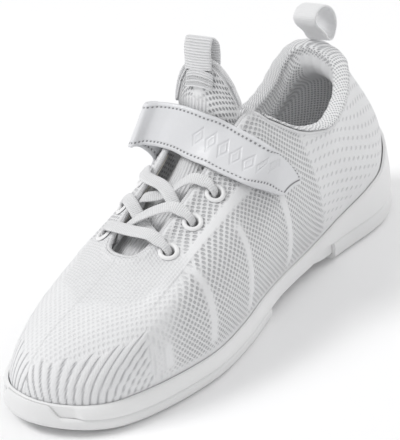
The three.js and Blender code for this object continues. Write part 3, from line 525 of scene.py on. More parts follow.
def tongue_finish():
    """Tongue: fine ribs along the middle, open mesh beside them."""
    f = Finish("tongue_knit")
    across, along = f.weave()
    ribbed = f.attribute("ribbed")
    ribs = across.wave(1.7)
    holes = grid_dots((across + along) * DIAGONAL, (across - along) * DIAGONAL, 2.1, 0.6, 0.2) * (1 - ribbed)
    holes = holes * f.attribute("open_mesh")
    # Colour: the holes and the grooves between the ribs are darkened as painted shade; the noise is random
    # tone.
    painted_shade_and_tone = holes * 0.8 + (1 - ribs) * ribbed * 0.12 + f.noise(50) * 0.1
    height = ribs * ribbed * 0.45 - holes * 1.4 + along.wave(0.7) * 0.12 + f.noise(1500, 2) * 0.15
    return f.close(f.colour(painted_shade_and_tone, WHITE, (0.30, 0.305, 0.32)), 0.88, f.relief(height, 0.35), sheen=0.15)


def tape_finish(name, pitch, gloss, depth):
    """Woven tape: cords across it at a pitch, and a fine twill."""
    f = Finish(name)
    across, along = f.weave()
    cords, twill = along.wave(pitch), (across * 1.4 + along).wave(0.5)
    wear = f.noise(70)
    height = cords * depth + twill * 0.1
    # The troughs between the cords are darkened as painted shade; the wear noise is random tone.
    colour = f.colour((1 - cords) * depth * 0.35 + wear * 0.1, WHITE, (0.45, 0.455, 0.47))
    return f.close(colour, gloss + wear * 0.1, f.relief(height, 0.3), sheen=0.1)


def strap_finish():
    """Coated strap: a faint leather grain, and a line of needle holes inside each edge."""
    f = Finish("strap_coated")
    _, along = f.weave()
    inset = f.attribute("inset")
    line = 1 - ((inset - 2.1).apply("ABSOLUTE")).ramp(0.2, 0.5)
    needle = (1 - ((along / 1.9).part().apply("ABSOLUTE") * 1.9).ramp(0.25, 0.55)) * line
    channel = 1 - ((inset - 2.1).apply("ABSOLUTE")).ramp(0.4, 1.0)
    grain = f.noise(900, 4)
    wear = f.noise(40)
    # Colour: the needle holes and the stitch channel are darkened as painted shade in these recesses; wear
    # and grain are real tone.
    painted_shade_and_tone = needle * 0.75 + channel * 0.05 + wear * 0.12 + grain * 0.05
    colour = f.colour(painted_shade_and_tone, (0.76, 0.766, 0.785), (0.2, 0.2, 0.21))
    height = grain * 0.12 - needle * 1.2 - channel * 0.3
    return f.close(colour, 0.38 + wear * 0.14 + needle * 0.3, f.relief(height, 0.3), coat=0.12)


def rubber_finish(name, tint, rough):
    """Moulded rubber: a fine spark-eroded grain, a little darker, warmer and rougher toward the floor."""
    f = Finish(name)
    height = f.noise(1300, 3)
    low = 1 - f.place()[2].ramp(0.5, 7.0)
    # Random mottle, plus a darkening within about 7 mm of the floor.
    mottle_and_low_darkening = f.noise(30) * 0.12 + low * 0.06
    colour = f.colour(mottle_and_low_darkening, tint, (0.62, 0.615, 0.60))
    return f.close(colour, rough + mottle_and_low_darkening, f.relief(height, 0.08))


def foam_finish(name, tint, pore):
    """Cut foam or board: small pores."""
    f = Finish(name)
    pores = f.noise(pore, 4)
    return f.close(f.colour(pores * 0.5, tint, tuple(0.75 * c for c in tint)), 0.95, f.relief(pores, 0.2))


def pile_finish(name, pitch):
    """Hook or loop pile: rows of tiny tufts."""
    f = Finish(name)
    x, y, z = f.place()
    tufts = (y + x * 0.3).wave(pitch) * z.wave(pitch)
    # The gaps between the tufts are darkened as painted shade.
    colour = f.colour(1 - tufts, (0.78, 0.78, 0.79), (0.55, 0.55, 0.56))
    return f.close(colour, 0.95, f.relief(tufts + f.noise(1800, 3), 0.3))


pique, tongue_knit, strap_coat = pique_finish(), tongue_finish(), strap_finish()
webbing = tape_finish("tab_webbing", 1.25, 0.75, 0.5)
satin = tape_finish("heel_satin", 0.8, 0.36, 0.08)
binding_tape = tape_finish("binding_tape", 0.9, 0.7, 0.25)
lace_braid = tape_finish("lace_braid", 0.9, 0.8, 0.3)
wall_rubber = rubber_finish("wall_rubber", (0.84, 0.842, 0.845), 0.55)
ground_rubber = rubber_finish("ground_rubber", (0.80, 0.802, 0.805), 0.62)
ring_paint = rubber_finish("ring_paint", (0.86, 0.86, 0.865), 0.32)
board = foam_finish("fibre_board", (0.66, 0.63, 0.57), 700)
pile = pile_finish("hook_and_loop", 0.9)
print(len(bpy.data.materials), "finishes")

# %% [markdown]
# ## Camera, light and floor
# The shoe is seen from the toe's outer quarter, a little from above, with a long lens that keeps its
# sides parallel. One large soft lamp in front and a weaker one behind give white cloth just enough shade
# for its weave to show. The floor is plain.

# %% Stage
AZIMUTH, ELEVATION, ROLL = math.radians(39.08), math.radians(28.67), math.radians(-4.63)
DISTANCE = 1165.3
back = np.array([math.sin(AZIMUTH) * math.cos(ELEVATION), -math.cos(AZIMUTH) * math.cos(ELEVATION),
                 math.sin(ELEVATION)])
level = np.array([math.cos(AZIMUTH), math.sin(AZIMUTH), 0.0])
upright = np.cross(back, level)
right = math.cos(ROLL) * level + math.sin(ROLL) * upright
above = -math.sin(ROLL) * level + math.cos(ROLL) * upright
aim = np.array([0, 0, 45.0]) + 1.175 * right - 0.56 * above
camera = bpy.data.objects.new("camera", bpy.data.cameras.new("camera"))
camera.data.lens, camera.data.sensor_width = 215.8, 36
camera.data.clip_start, camera.data.clip_end = 0.05, 20
camera.matrix_world = Matrix((
    (right[0], above[0], back[0], (aim[0] + back[0] * DISTANCE + SHIFT[0]) * MM),
    (right[1], above[1], back[1], (aim[1] + back[1] * DISTANCE + SHIFT[1]) * MM),
    (right[2], above[2], back[2], (aim[2] + back[2] * DISTANCE) * MM), (0, 0, 0, 1)))
collection.objects.link(camera)
bpy.context.scene.camera = camera


def lamp(name, place, size, watts):
    """Square area lamp at a place in metres, turned to the shoe."""
    light = bpy.data.lights.new(name, "AREA")
    light.size, light.energy = size, watts
    holder = bpy.data.objects.new(name, light)
    holder.location = place
    holder.rotation_mode = "QUATERNION"
    holder.rotation_quaternion = (Vector((0, 0, 0.05)) - Vector(place)).to_track_quat("-Z", "Y")
    collection.objects.link(holder)


lamp("key", (-0.7, -0.7, 1.2), 0.6, 12)
lamp("fill", (1.3, -0.5, 0.8), 1.2, 2.5)
lamp("rim", (0.3, 1.3, 0.9), 0.8, 7)
world = bpy.data.worlds.new("studio")
world.use_nodes = True
world.node_tree.nodes["Background"].inputs["Color"].default_value = (1, 1, 1, 1)
world.node_tree.nodes["Background"].inputs["Strength"].default_value = 0.56
bpy.context.scene.world = world
bpy.context.scene.view_settings.view_transform = "Standard"

floor_finish = Finish("floor")
FLOOR_SIZE = 3.0
floor = bpy.data.meshes.new("floor")
floor.from_pydata([(-FLOOR_SIZE, -FLOOR_SIZE, 0), (FLOOR_SIZE, -FLOOR_SIZE, 0), (FLOOR_SIZE, FLOOR_SIZE, 0),
                   (-FLOOR_SIZE, FLOOR_SIZE, 0)], [], [(0, 1, 2, 3)])
floor.materials.append(floor_finish.close(
    floor_finish.colour(floor_finish.noise(4), (0.93, 0.93, 0.935), (0.91, 0.91, 0.915)), 0.8))
ground = bpy.data.objects.new("floor", floor)
collection.objects.link(ground)

# %% [markdown]
# ## The cup sole
# The midsole is a moulded cup whose wall climbs at the heel; the rubber outsole is split, wraps the toe as
# a bumper, and meets the wall at a groove. Both are stacks of rings: one ring is the sole's outline moved
# in by an inset and set at a height. The bottom is laid as a grid so that the tread's channels are real.

# %% Sole outline and heights
OUTSOLE, SIDEWALL = 3.2, 1.4
FOREFOOT_EDGE, HEEL_EDGE = 6.2, 9.2
TOE_BUMPER = 20
FLOOR_HEIGHT, HEEL_LIFT = 8.6, 3.2
RIM = 1.8
ROUNDS = np.arange(432) * 360 / 432


def spring(y):
    """Lift of the toe ahead of y = -84: a parabola."""
    return 4 * np.maximum(0, (-84 - y) / 37) ** 2


def waist(y):
    """One between the forefoot's and the heel's ground faces, where the sole is raised."""
    return smooth(4, 18, y) * (1 - smooth(44, 58, y))


def floor_at(y):
    """Height of the midsole's inside floor."""
    return FLOOR_HEIGHT + HEEL_LIFT * smooth(42, 82, y) + 0.6 * spring(y)


def from_toe(phi):
    """Degrees from the toe's tip, either way."""
    return np.minimum(np.mod(phi, 360), 360 - np.mod(phi, 360))


def plain_rim(y):
    """Height of the rubber's rim away from the bumper."""
    return mix(FOREFOOT_EDGE, HEEL_EDGE, smooth(20, 62, y)) + spring(y)


bumper = 1 - smooth(TOE_BUMPER * 0.7, TOE_BUMPER, from_toe(ROUNDS))
covered = 1 - smooth(TOE_BUMPER * 1.25, TOE_BUMPER * 1.55, from_toe(ROUNDS))
outline, wall = plan_at(ROUNDS)
y_line, out_line = outline[:, 1], sole_out(ROUNDS)
rim_line = mix(plain_rim(y_line), wall + 0.6, bumper)


def ring(inset, height):
    """The outline moved in by inset, at a height."""
    points = outline - out_line * np.broadcast_to(inset, ROUNDS.shape)[:, None]
    points[:, 2] = height
    return points


def rounded(rings, steps):
    """A denser stack of rings through the given ones, with a Catmull-Rom profile at each outline place."""
    stack = np.array(rings)
    place = np.linspace(0, 1, steps)
    return np.stack([catmull(stack, p) for p in place])


def close_ends(rings, bottom=None):
    """Points and quads of a stack of rings, closed at both ends with a grid across the shoe."""
    stack = np.array(rings)
    rows, cols = stack.shape[:2]
    points, faces = [stack.reshape(-1, 3)], [grid_faces(rows, cols, 0, around=True)]
    count, half, across = rows * cols, cols // 2, 41
    for end, turn in ((0, -1), (rows - 1, 1)):
        line = stack[end]
        left, other = line[1:half], line[:half:-1]
        share = np.linspace(0, 1, across)[None, 1:-1, None]
        inner = mix(left[:, None], other[:, None], share)
        if end == 0 and bottom is not None:
            inner = bottom(inner)
        index = np.empty((half - 1, across), int)
        index[:, 0] = end * cols + np.arange(1, half)
        index[:, -1] = end * cols + np.arange(cols - 1, half, -1)
        index[:, 1:-1] = count + np.arange(inner[..., 0].size).reshape(half - 1, across - 2)
        count += inner[..., 0].size
        points.append(inner.reshape(-1, 3))
        quads = np.stack([index[:-1, :-1], index[:-1, 1:], index[1:, 1:], index[1:, :-1]], -1).reshape(-1, 4)
        tip = end * cols
        fan_a = [[tip, index[0, k], index[0, k + 1], index[0, k + 1]] for k in range(across - 1)]
        fan_b = [[end * cols + half, index[-1, k + 1], index[-1, k], index[-1, k]] for k in range(across - 1)]
        faces.append(np.vstack([quads, np.array(fan_a)[:, ::-1], np.array(fan_b)[:, ::-1]])[:, ::-turn])
    points, faces = np.concatenate(points), np.concatenate(faces)
    return points, [tuple(dict.fromkeys(f)) for f in faces.tolist()]


def tidy_normals(piece):
    """Turns every face of a closed mesh outwards."""
    b = bmesh.new()
    b.from_mesh(piece.data)
    bmesh.ops.remove_doubles(b, verts=b.verts, dist=1e-6)
    bmesh.ops.recalc_face_normals(b, faces=b.faces)
    b.to_mesh(piece.data)
    b.free()


# %% Rubber: tread, rim and bumper, cut into forefoot and heel
def tread(points):
    """Raises the channels of a wavy tread: their height follows a cosine of the distance along the shoe."""
    x, y = points[..., 0], points[..., 1]
    channel = smooth(0.86, 0.97, np.cos(2 * np.pi * (y + 2.2 * np.cos(2 * np.pi * x / 13)) / 7.5))
    points[..., 2] = spring(y) + 1.1 * channel
    return points


rubber_rings = rounded([
    ring(6.0, spring(y_line)), ring(3.2, spring(y_line) + 0.05), ring(1.6, spring(y_line) + 0.9),
    ring(0.5, spring(y_line) + 2.2), ring(0.25, mix(spring(y_line) + 3.6, rim_line * 0.5, bumper)),
    ring(mix(0.35, 0.9, bumper), rim_line - 0.9), ring(mix(0.9, 1.3, bumper), rim_line),
], 26)
rubber_top = [ring(RIM, rim_line), ring(RIM + 0.2, spring(y_line) + OUTSOLE)]
rubber_rings = np.concatenate([rubber_rings, rubber_top])
rubber_points, rubber_faces = close_ends(rubber_rings, tread)


def ground_block(low, high, bow_low, bow_high):
    """A block across the shoe from y = low to y = high, whose ends bow by a parabola across its width."""
    x = np.linspace(-60, 60, 61)
    bow = (x / 60) ** 2
    near, far = low - bow_low + bow_low * 2 * bow, high + bow_high - bow_high * 2 * bow
    plan = np.concatenate([np.stack([x, near], 1), np.stack([x, far], 1)[::-1]])
    count = len(plan)
    points = np.concatenate([np.c_[plan, np.full(count, -5.0)], np.c_[plan, np.full(count, 60.0)]])
    sides = [(i, (i + 1) % count, (i + 1) % count + count, i + count) for i in range(count)]
    return points, sides + [tuple(range(count))[::-1], tuple(range(count, 2 * count))]


for name, span in (("outsole_forefoot", (-200, 4, 0, 4.5)), ("outsole_heel", (66, 200, 4.5, 0))):
    piece = make_piece(f"{name}_tread", rubber_points, rubber_faces, body=None)
    tidy_normals(piece)
    block = make_piece("block", *ground_block(*span), body=None)
    tidy_normals(block)
    cutter = piece.modifiers.new("part", "BOOLEAN")
    cutter.operation, cutter.solver, cutter.object = "INTERSECT", "EXACT", block
    bpy.context.view_layer.update()
    cut = bpy.data.meshes.new_from_object(piece.evaluated_get(bpy.context.evaluated_depsgraph_get()))
    piece.modifiers.clear()
    piece.data = cut
    bpy.data.objects.remove(block)
    cut.materials.clear()
    cut.materials.append(ground_rubber)
    cut.polygons.foreach_set("use_smooth", np.ones(len(cut.polygons), bool))
    cut.set_sharp_from_angle(angle=math.radians(40))
    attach(piece, "shoe")
    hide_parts(name)
    print(piece.name, len(cut.polygons), "faces")

# %% Midsole: wall with its groove, knob at the end of the forefoot
underside = mix(OUTSOLE + EASE + spring(y_line), FOREFOOT_EDGE - 0.8, waist(y_line))
shelf = mix(rim_line + EASE, FOREFOOT_EDGE - 0.6, waist(y_line))
behind = (RIM + EASE) * covered
WALL_INSET = FEATHER_INSET - 2 * EASE
shelf_edge = mix(shelf, np.maximum(floor_at(y_line) - 1, plain_rim(y_line) + EASE + 0.1), covered)
knob = np.exp(-(((y_line + 5) / 6.5) ** 2)) * (outline[:, 0] > 0) * 0.5


def wall_ring(share, bulge):
    """Ring of the outer wall: share of the way from the shelf to the wall's top, bulging out by bulge."""
    lean = mix(0.3 + 0.9 * waist(y_line), WALL_INSET - SIDEWALL, share**1.6)
    inset = np.maximum(lean - bulge - knob * math.sin(math.pi * share), behind)
    return ring(inset, mix(shelf_edge, wall + 0.9, share))


midsole_rings = np.array([
    ring(RIM + EASE + 0.3, underside), ring(RIM + EASE, underside + 0.2),
    ring(RIM + EASE, np.maximum(underside + 0.2, mix(shelf, plain_rim(y_line) + EASE, covered))),
    ring(np.maximum(0.9 + 0.8 * waist(y_line), behind), shelf_edge),
    *[wall_ring(q, 0.25 * math.sin(math.pi * q)) for q in np.linspace(0.02, 0.9, 14)],
    ring(np.maximum(WALL_INSET - SIDEWALL + 0.15, behind), wall + 0.75),
    ring(np.maximum(WALL_INSET - SIDEWALL + 0.5, behind), wall + 0.9),
    ring(WALL_INSET, wall + 0.9), ring(WALL_INSET + 0.01, floor_at(y_line)),
])
midsole_points, midsole_faces = close_ends(midsole_rings)
midsole = make_piece("midsole_cup", midsole_points, midsole_faces, slot="rubber",
                     stands_for=["midsole"], finish=wall_rubber)
tidy_normals(midsole)
midsole.data.set_sharp_from_angle(angle=math.radians(45))
print("midsole", len(midsole.data.polygons), "faces")

# %% [markdown]
# ## The knit upper
# The upper is one surface from the sole to the collar, thickened by a modifier. Its raised bands, ribs and
# rolled edge are real relief, worked out on the grid; the open stitches are left to the finish. The knit
# is opened at the six eyelets, where a ring covers the edge of each hole.

# %% Upper
EYELETS = {"lateral": [(33, 0.9), (50, 0.905), (65.5, 0.9)],
           "medial": [(326.5, 0.885), (310.5, 0.885), (296, 0.885)]}
EYELET_HOLE, EYELET_RADIUS, EYELET_BARREL = 2.6, 4.6, 3.1
eyelets = {}
for side, places in EYELETS.items():
    for number, (phi, v) in enumerate(places, 1):
        phi, v = np.array(float(phi)), np.array(v)
        eyelets[f"{side}_{number}"] = {"point": upper(phi, v), "normal": upper_normal(phi, v),
                                       "phi": phi, "v": v}

COLS, ROWS = 560, 74
knit_phi = np.tile(np.arange(COLS) * 360 / COLS, (ROWS, 1))
knit_v = np.tile(np.linspace(0, 1, ROWS)[:, None], (1, COLS))
face_points = upper(knit_phi, knit_v)
around = lengths(face_points, 1)
steps = np.diff(face_points, axis=0)
climb = np.concatenate([np.zeros((1, COLS)), np.cumsum(np.hypot(steps[..., 0], steps[..., 2]), 0)])
px, py, pz = np.moveaxis(face_points, -1, 0)
toe_far = from_toe(knit_phi)
# Across the cloth: y at the sides, and the running length round the heel, where y stands still.
round_step = np.diff(around, axis=1, append=around[:, -1:])
level_step = np.diff(py, axis=1, append=py[:, :1])
turned = smooth(118, 150, toe_far)
across_step = mix(np.abs(level_step), round_step, turned)
travel = np.cumsum(across_step, axis=1)
outer_side = slice(COLS // 4, COLS // 4 + 1)
inner_side = slice(3 * COLS // 4, 3 * COLS // 4 + 1)
travel = np.where(knit_phi <= 180, travel - travel[:, outer_side] + py[:, outer_side],
                  travel[:, inner_side] - travel + py[:, inner_side])


def stripe(value, half, edge=0.8):
    """One where a value is within half of zero, with an edge that fades over edge."""
    return 1 - smooth(half - edge / 2, half + edge / 2, np.abs(value))


def between(low, high, value, edge):
    """One from low to high, fading over edge outside them."""
    return smooth(low - edge, low, value) * (1 - smooth(high, high + edge, value))


# Ribs of the toe's fan leave the sole at equal steps and spread about the rib that starts at 34 degrees.
SPREAD, FAN_MIDDLE, RIB_PITCH = 1.1, 34.0, 3.2
signed = np.where(knit_phi > 180, 360 - knit_phi, knit_phi)
rib_start = (signed + SPREAD * FAN_MIDDLE * knit_v) / (1 + SPREAD * knit_v)
sole_run = np.interp(rib_start, signed[0, :COLS // 2], around[0, :COLS // 2])
rib_line = sole_run / RIB_PITCH
fan_top = np.interp(signed, [-8, 0, 16, 31, 43, 49, 56], [0.16, 0.24, 0.3, 0.33, 0.38, 0.24, 0.0])
zigzag = 0.02 * np.abs(((rib_line * 0.5) % 1) - 0.5) * 4
fan_mask = 1 - smooth(fan_top - 0.012, fan_top + 0.012, knit_v + zigzag)
fan_mask = fan_mask * (1 - smooth(54, 57, signed)) * (knit_v > 0.0)
is_side = smooth(46, 58, toe_far + 26 * (knit_v - 0.35))
low_band = smooth(5, 9, climb)
bands = np.maximum.reduce([
    stripe(np.abs(px) - 27.5, 2.0) * between(-72, 4, py, 3) * smooth(42, 46, pz),
    stripe(py + 46, 2.4) * (1 - smooth(50, 54, pz)),
    stripe(py + 15 + (50 - pz) * 0.04, 2.2) * (1 - smooth(56, 60, pz)),
    stripe(py - 20 - (46 - pz) * 0.15, 2.2) * (1 - smooth(66, 70, pz)),
    stripe(py + 74 - (34 - pz) * 0.1, 3.0) * smooth(52, 55, toe_far) * (1 - smooth(44, 48, pz))]) * low_band
heel_mask = smooth(50, 54, py + (pz - 40) * 0.25)
vamp = (1 - is_side) * (1 - fan_mask)
rib_ahead = vamp * smooth(0.62, 0.7, knit_v + 0.02 * np.cos(knit_phi / 3))
fine_mask = vamp * (1 - rib_ahead) * smooth(0.0, 0.04, knit_v)
edge_roll = smooth(0.965, 1.0, knit_v)
open_mask = is_side * (1 - heel_mask) * (1 - fan_mask) * (1 - bands)
open_mask = open_mask * (1 - edge_roll) * smooth(2, 6, climb)
heel_dimples = heel_mask * (1 - edge_roll) * (1 - smooth(174, 177, toe_far)) * smooth(4, 8, climb)
groove = stripe(rib_line - np.round(rib_line), 0.1, 0.1) * fan_mask
lift = (bands * 0.4 * (1 - edge_roll) + fan_mask * 0.3 * np.abs(np.sin(np.pi * rib_line))
        + 0.5 * np.sin(np.pi * np.clip((knit_v - 0.955) / 0.045, 0, 1))
        - 0.25 * stripe(knit_v - 0.952, 0.008, 0.012))
ringed = np.zeros_like(climb)
for eyelet in eyelets.values():
    far = np.linalg.norm(face_points - eyelet["point"], axis=-1)
    ringed = np.maximum(ringed, 1 - smooth(EYELET_RADIUS + 0.3, EYELET_RADIUS + 2.2, far))
lift = lift * (1 - ringed)
knit_surface = face_points + upper_normal(knit_phi, knit_v) * lift[..., None]
margin, _ = plan_at(knit_phi[0])
margin = margin - sole_out(knit_phi[0]) * FEATHER_INSET
margin[:, 2] = floor_at(margin[:, 1]) + EASE
knit_surface = np.concatenate([margin[None], knit_surface])
pad_row = lambda values: np.concatenate([values[:1], values])
quads = grid_faces(ROWS + 1, COLS, 0, around=True)
centres = knit_surface.reshape(-1, 3)[quads].mean(1)
keep = np.ones(len(quads), bool)
for eyelet in eyelets.values():
    keep &= np.linalg.norm(centres - eyelet["point"], axis=1) > 3.5
upper_piece = make_piece(
    "knit_shell", knit_surface, quads[keep], np.stack([pad_row(travel), pad_row(climb)], -1),
    {key: pad_row(mask).ravel() for key, mask in {
        "open_mesh": open_mask, "band": np.maximum(bands, edge_roll), "heel": heel_dimples,
        "fine": fine_mask, "ahead": rib_ahead, "groove": groove}.items()},
    slot="knit", stands_for=["knit_upper"], finish=knit)
thick = upper_piece.modifiers.new("thickness", "SOLIDIFY")
thick.thickness, thick.offset = KNIT * MM, -1
print("knit", len(upper_piece.data.polygons), "quads, opened by", int((~keep).sum()))

# %% [markdown]
# ## Collar lining and its padding
# The collar is a foam roll under a pique lining that turns over the edge. It is drawn as a closed slab:
# up over the foam, then half a turn round the edge. A short cloth simulation blows the slab out a little,
# as foam does, with its borders pinned.

# %% Collar lining
COLLAR = (104.0, 256.0)
THIN_PAD, ROLL_RISE, FACET = 0.7, 1.2, 0.3
ON_FOAM = KNIT + EASE + FACET + EASE + FACET


def pad(phi, v):
    """Thickness of the collar foam: thin at its lower edge, thickest below the collar's edge."""
    ends = smooth(COLLAR[0] - 4, COLLAR[0] + 22, phi) * (1 - smooth(COLLAR[1] - 22, COLLAR[1] + 4, phi))
    bulge = smooth(0.52, 0.78, v) * (1 - 0.55 * smooth(0.82, 0.99, v))
    return THIN_PAD + (COLLAR_PAD - THIN_PAD) * (0.35 + 0.65 * ends) * bulge


lining_phi = np.linspace(*COLLAR, 241)[None, :]
climb_v = np.concatenate([np.linspace(0.06, 0.985, 50), np.ones(15)])[:, None]
turn = np.concatenate([np.zeros(50), np.linspace(0, np.pi, 15)])[:, None]
lining_phi, climb_v, turn = np.broadcast_arrays(lining_phi, climb_v, turn)
full = ON_FOAM + pad(lining_phi, climb_v)
lining_depth = np.where(climb_v < 1, full, full / 2 * (1 + np.cos(turn)))
lining_rise = np.where(climb_v < 1, 0.0, EASE + ROLL_RISE * np.sin(turn))
lining_back = upper(lining_phi, climb_v, lining_depth, lining_rise)
lining_normal = normals_of(lining_back)
if (lining_normal[57, 120] * (lining_back[57, 120] - lining_back[10, 120])).sum() < 0:
    lining_normal = -lining_normal
tuft = 0.12 * np.cos(lining_phi * 1.1) * smooth(0.55, 0.7, climb_v)
lining_front = lining_back + lining_normal * (LINING + tuft)[..., None]
lining_weave = np.stack([lengths(lining_front, 1), lengths(lining_front, 0)], -1)
patch = between(168, 193, lining_phi, 2.5) * between(0.6, 0.93, climb_v, 0.03)


def puffed(points, pressure=3.0, cap=1.6):
    """Cloth simulation of a grid of points (millimetres) with pinned borders: pressure pushes it along its
    normals, and no point moves further than cap. Gives the new grid."""
    rows, cols = points.shape[:2]
    mesh = bpy.data.meshes.new("puff")
    mesh.from_pydata(points.reshape(-1, 3) * MM, [], grid_faces(rows, cols).tolist())
    soft = bpy.data.objects.new("puff", mesh)
    collection.objects.link(soft)
    held = np.zeros((rows, cols), bool)
    held[:2], held[-2:], held[:, :2], held[:, -2:] = True, True, True, True
    soft.vertex_groups.new(name="held").add(np.flatnonzero(held).tolist(), 1.0, "ADD")
    cloth = soft.modifiers.new("cloth", "CLOTH")
    cloth.settings.vertex_group_mass = "held"
    cloth.settings.use_pressure = True
    cloth.settings.uniform_pressure_force = pressure
    cloth.settings.tension_stiffness = cloth.settings.compression_stiffness = 20
    cloth.settings.effector_weights.gravity = 0
    scene = bpy.context.scene
    for step in range(1, 13):
        scene.frame_set(step)
    moved = soft.evaluated_get(bpy.context.evaluated_depsgraph_get()).to_mesh()
    flat = np.empty(rows * cols * 3)
    moved.vertices.foreach_get("co", flat)
    scene.frame_set(1)
    bpy.data.objects.remove(soft)
    step = flat.reshape(rows, cols, 3) / MM - points
    size = np.linalg.norm(step, axis=-1, keepdims=True)
    print("puffed by up to", round(float(size.max()), 2), "mm, kept to", cap)
    return points + step * np.minimum(1, cap / np.maximum(size, 1e-9))


cells = lining_front[:51:2, ::3]
faces_out = (normals_of(cells)[15, 40] * lining_normal[30, 120]).sum() > 0
swollen = puffed(cells) if faces_out else puffed(cells[:, ::-1])[:, ::-1]
swell = ((swollen - cells) * lining_normal[:51:2, ::3]).sum(-1)
columns = np.stack([np.interp(np.arange(241), np.arange(0, 241, 3), row) for row in swell])
swell = np.stack([np.interp(np.arange(51), np.arange(0, 51, 2), c) for c in columns.T], -1)
lining_front[:51] += lining_normal[:51] * np.clip(swell, 0, 1.6)[..., None]
lining = slab("collar_pad", lining_front, lining_back, weave=lining_weave, masks={"plain": patch},
              slot="lining", stands_for=["collar_lining", "collar_foam"], finish=pique)
print("lining", len(lining.data.polygons), "faces")

# %% Round cords along a path

def tube(name, path, radius, sides=12, flat=1.0, closed=False, spin=None, finish=None, **facts):
    """Round cord along a path: rings of an ellipse set square to the path, its flat side along spin."""
    path = np.asarray(path)
    ahead = np.roll(path, -1, 0) - np.roll(path, 1, 0) if closed else np.gradient(path, axis=0)
    tangent = unit(ahead)
    across = unit(spin - tangent * dot(spin, tangent))
    normal = np.cross(tangent, across)
    angle = np.arange(sides) * 2 * np.pi / sides
    radius = np.broadcast_to(radius, (len(path),))[:, None, None]
    rings = (path[:, None] + across[:, None] * np.cos(angle)[None, :, None] * radius
             + normal[:, None] * np.sin(angle)[None, :, None] * radius * flat)
    along = lengths(path[:, None], 0)
    weave = np.stack(np.broadcast_arrays(angle[None] * radius[..., 0], along), -1)
    faces = grid_faces(len(path), sides, 0, around=True, across=closed)
    points = rings.reshape(-1, 3)
    if not closed:
        count = len(points)
        points = np.concatenate([points, path[:1], path[-1:]])
        weave = np.concatenate([weave.reshape(-1, 2), np.zeros((2, 2))])
        k, n = np.arange(sides), (np.arange(sides) + 1) % sides
        last = (len(path) - 1) * sides
        caps = [(count, b, a) for a, b in zip(k.tolist(), n.tolist())]
        caps += [(count + 1, last + a, last + b) for a, b in zip(k.tolist(), n.tolist())]
        faces = faces.tolist() + caps
    piece = make_piece(name, points, faces, weave, finish=finish, **facts)
    tidy_normals(piece)
    return piece


throat_phi = np.linspace(-98, 98, 260)
throat_path = upper(throat_phi, 1.0, KNIT / 2, 0.35)
tube("throat_piping", throat_path, 1.15, sides=14, spin=np.array([0, 0, 1.0]) + 0 * throat_path, slot="knit",
     finish=binding_tape)

# A finer cord covers the seam between the padded collar and the outside of the knit.
collar_phi = np.linspace(96, 264, 420)
collar_path = upper(collar_phi, 0.985, 0.15)
tube("collar_piping", collar_path, 0.95, sides=12, spin=np.array([0, 0, 1.0]) + 0 * collar_path, slot="knit",
     finish=binding_tape)

# %% [markdown]
# ## The tongue
# A padded tongue lies under the lace and stands up over the instep, where its top turns forward with
# its own joint. One closed slab runs from the vamp to the top. It
# is ribbed along its middle and open beside the ribs, and a folded tape binds its upper edge.

# %% Tongue
TONGUE_LINE = [
    (0, -60, 43.8, 15, 0.012), (0.15, -45, 50.6, 19.5, 0.014), (0.3, -30, 57.4, 20.5, 0.015),
    (0.45, -15, 64.8, 20, 0.019), (0.54, -6, 71.4, 19, 0.032), (0.63, 1, 80.6, 17, 0.048),
    (0.72, 4.8, 90.5, 15, 0.04), (0.8, 6.4, 99, 15.4, 0.027), (0.9, 8.3, 109, 12.6, 0.022),
    (1, 10.8, 118.3, 11.4, 0.02),
]
INNER_ARCH, INNER_SHARE, TONGUE_TURN, TONGUE_ROUND, TONGUE_HINGE = 1.8, 0.8, 0.22, 0.15, 0.8


def tongue_at(s, t, depth=0.0):
    """Point under the tongue's front face, and the normal there: a parabola across the middle line,
    steeper on the inner side, whose corners fall below the middle of the top."""
    s, t, depth = np.broadcast_arrays(*(np.asarray(a, float) for a in (s, t, depth)))
    corner = 1 - np.sqrt(np.maximum(0, 1 - (0.97 * s) ** 2))
    place = t - TONGUE_ROUND * corner * np.maximum(0, (t - 0.6) / 0.4) ** 1.5
    y, z, half, arch = np.moveaxis(through_rows(TONGUE_LINE, place), -1, 0)
    ahead, behind = through_rows(TONGUE_LINE, place + 0.01), through_rows(TONGUE_LINE, place - 0.01)
    front = unit(np.stack([np.zeros_like(y), -(ahead - behind)[..., 1], (ahead - behind)[..., 0]], -1))
    narrow = np.where(s < 0, mix(1, INNER_SHARE, smooth(0.7, 0.86, t)), 1)
    x = s * half * narrow
    bend = arch * np.where(s < 0, mix(INNER_ARCH, 1, smooth(0.58, 0.8, t)), 1)
    turn = TONGUE_TURN * smooth(0.55, 0.85, t)
    point = np.stack([x, y, z], -1) - front * (bend * x * x + turn * x)[..., None]
    normal = front.copy()
    normal[..., 0] += 2 * bend * x + turn
    normal = unit(normal)
    return point - normal * depth[..., None], normal


tongue_s = np.linspace(-1, 1, 97)[None, :]
tongue_t = np.linspace(0, 1, 261)[:, None]
tongue_s, tongue_t = np.broadcast_arrays(tongue_s, tongue_t)
edge_round = np.sqrt(np.clip(1 - np.abs(tongue_s) ** 8, 0.08, 1))
edge_round = edge_round * np.sqrt(np.clip(1 - tongue_t**40, 0.15, 1))
rib_zone = between(-0.95, 0.25, tongue_s, 0.12) * (1 - smooth(0.8, 0.86, tongue_t))
quilt = 0.35 * np.sin(np.pi * np.clip((1 - np.abs(tongue_s)) / 0.5, 0, 1)) * smooth(0.5, 0.6, tongue_t)
spot_far = np.hypot(tongue_s * 15, (tongue_t - 0.853) * 100)
spot = 1 - smooth(1.5, 4.5, spot_far)
front_face, _ = tongue_at(tongue_s, tongue_t, TONGUE / 2 * (1 - edge_round) - quilt * 0.6 - spot * 0.5)
back_face, _ = tongue_at(tongue_s, tongue_t, TONGUE / 2 * (1 + edge_round))
tongue_across = lengths(front_face, 1)
tongue_weave = np.stack([tongue_across - tongue_across[:, 48:49], lengths(front_face, 0)], -1)
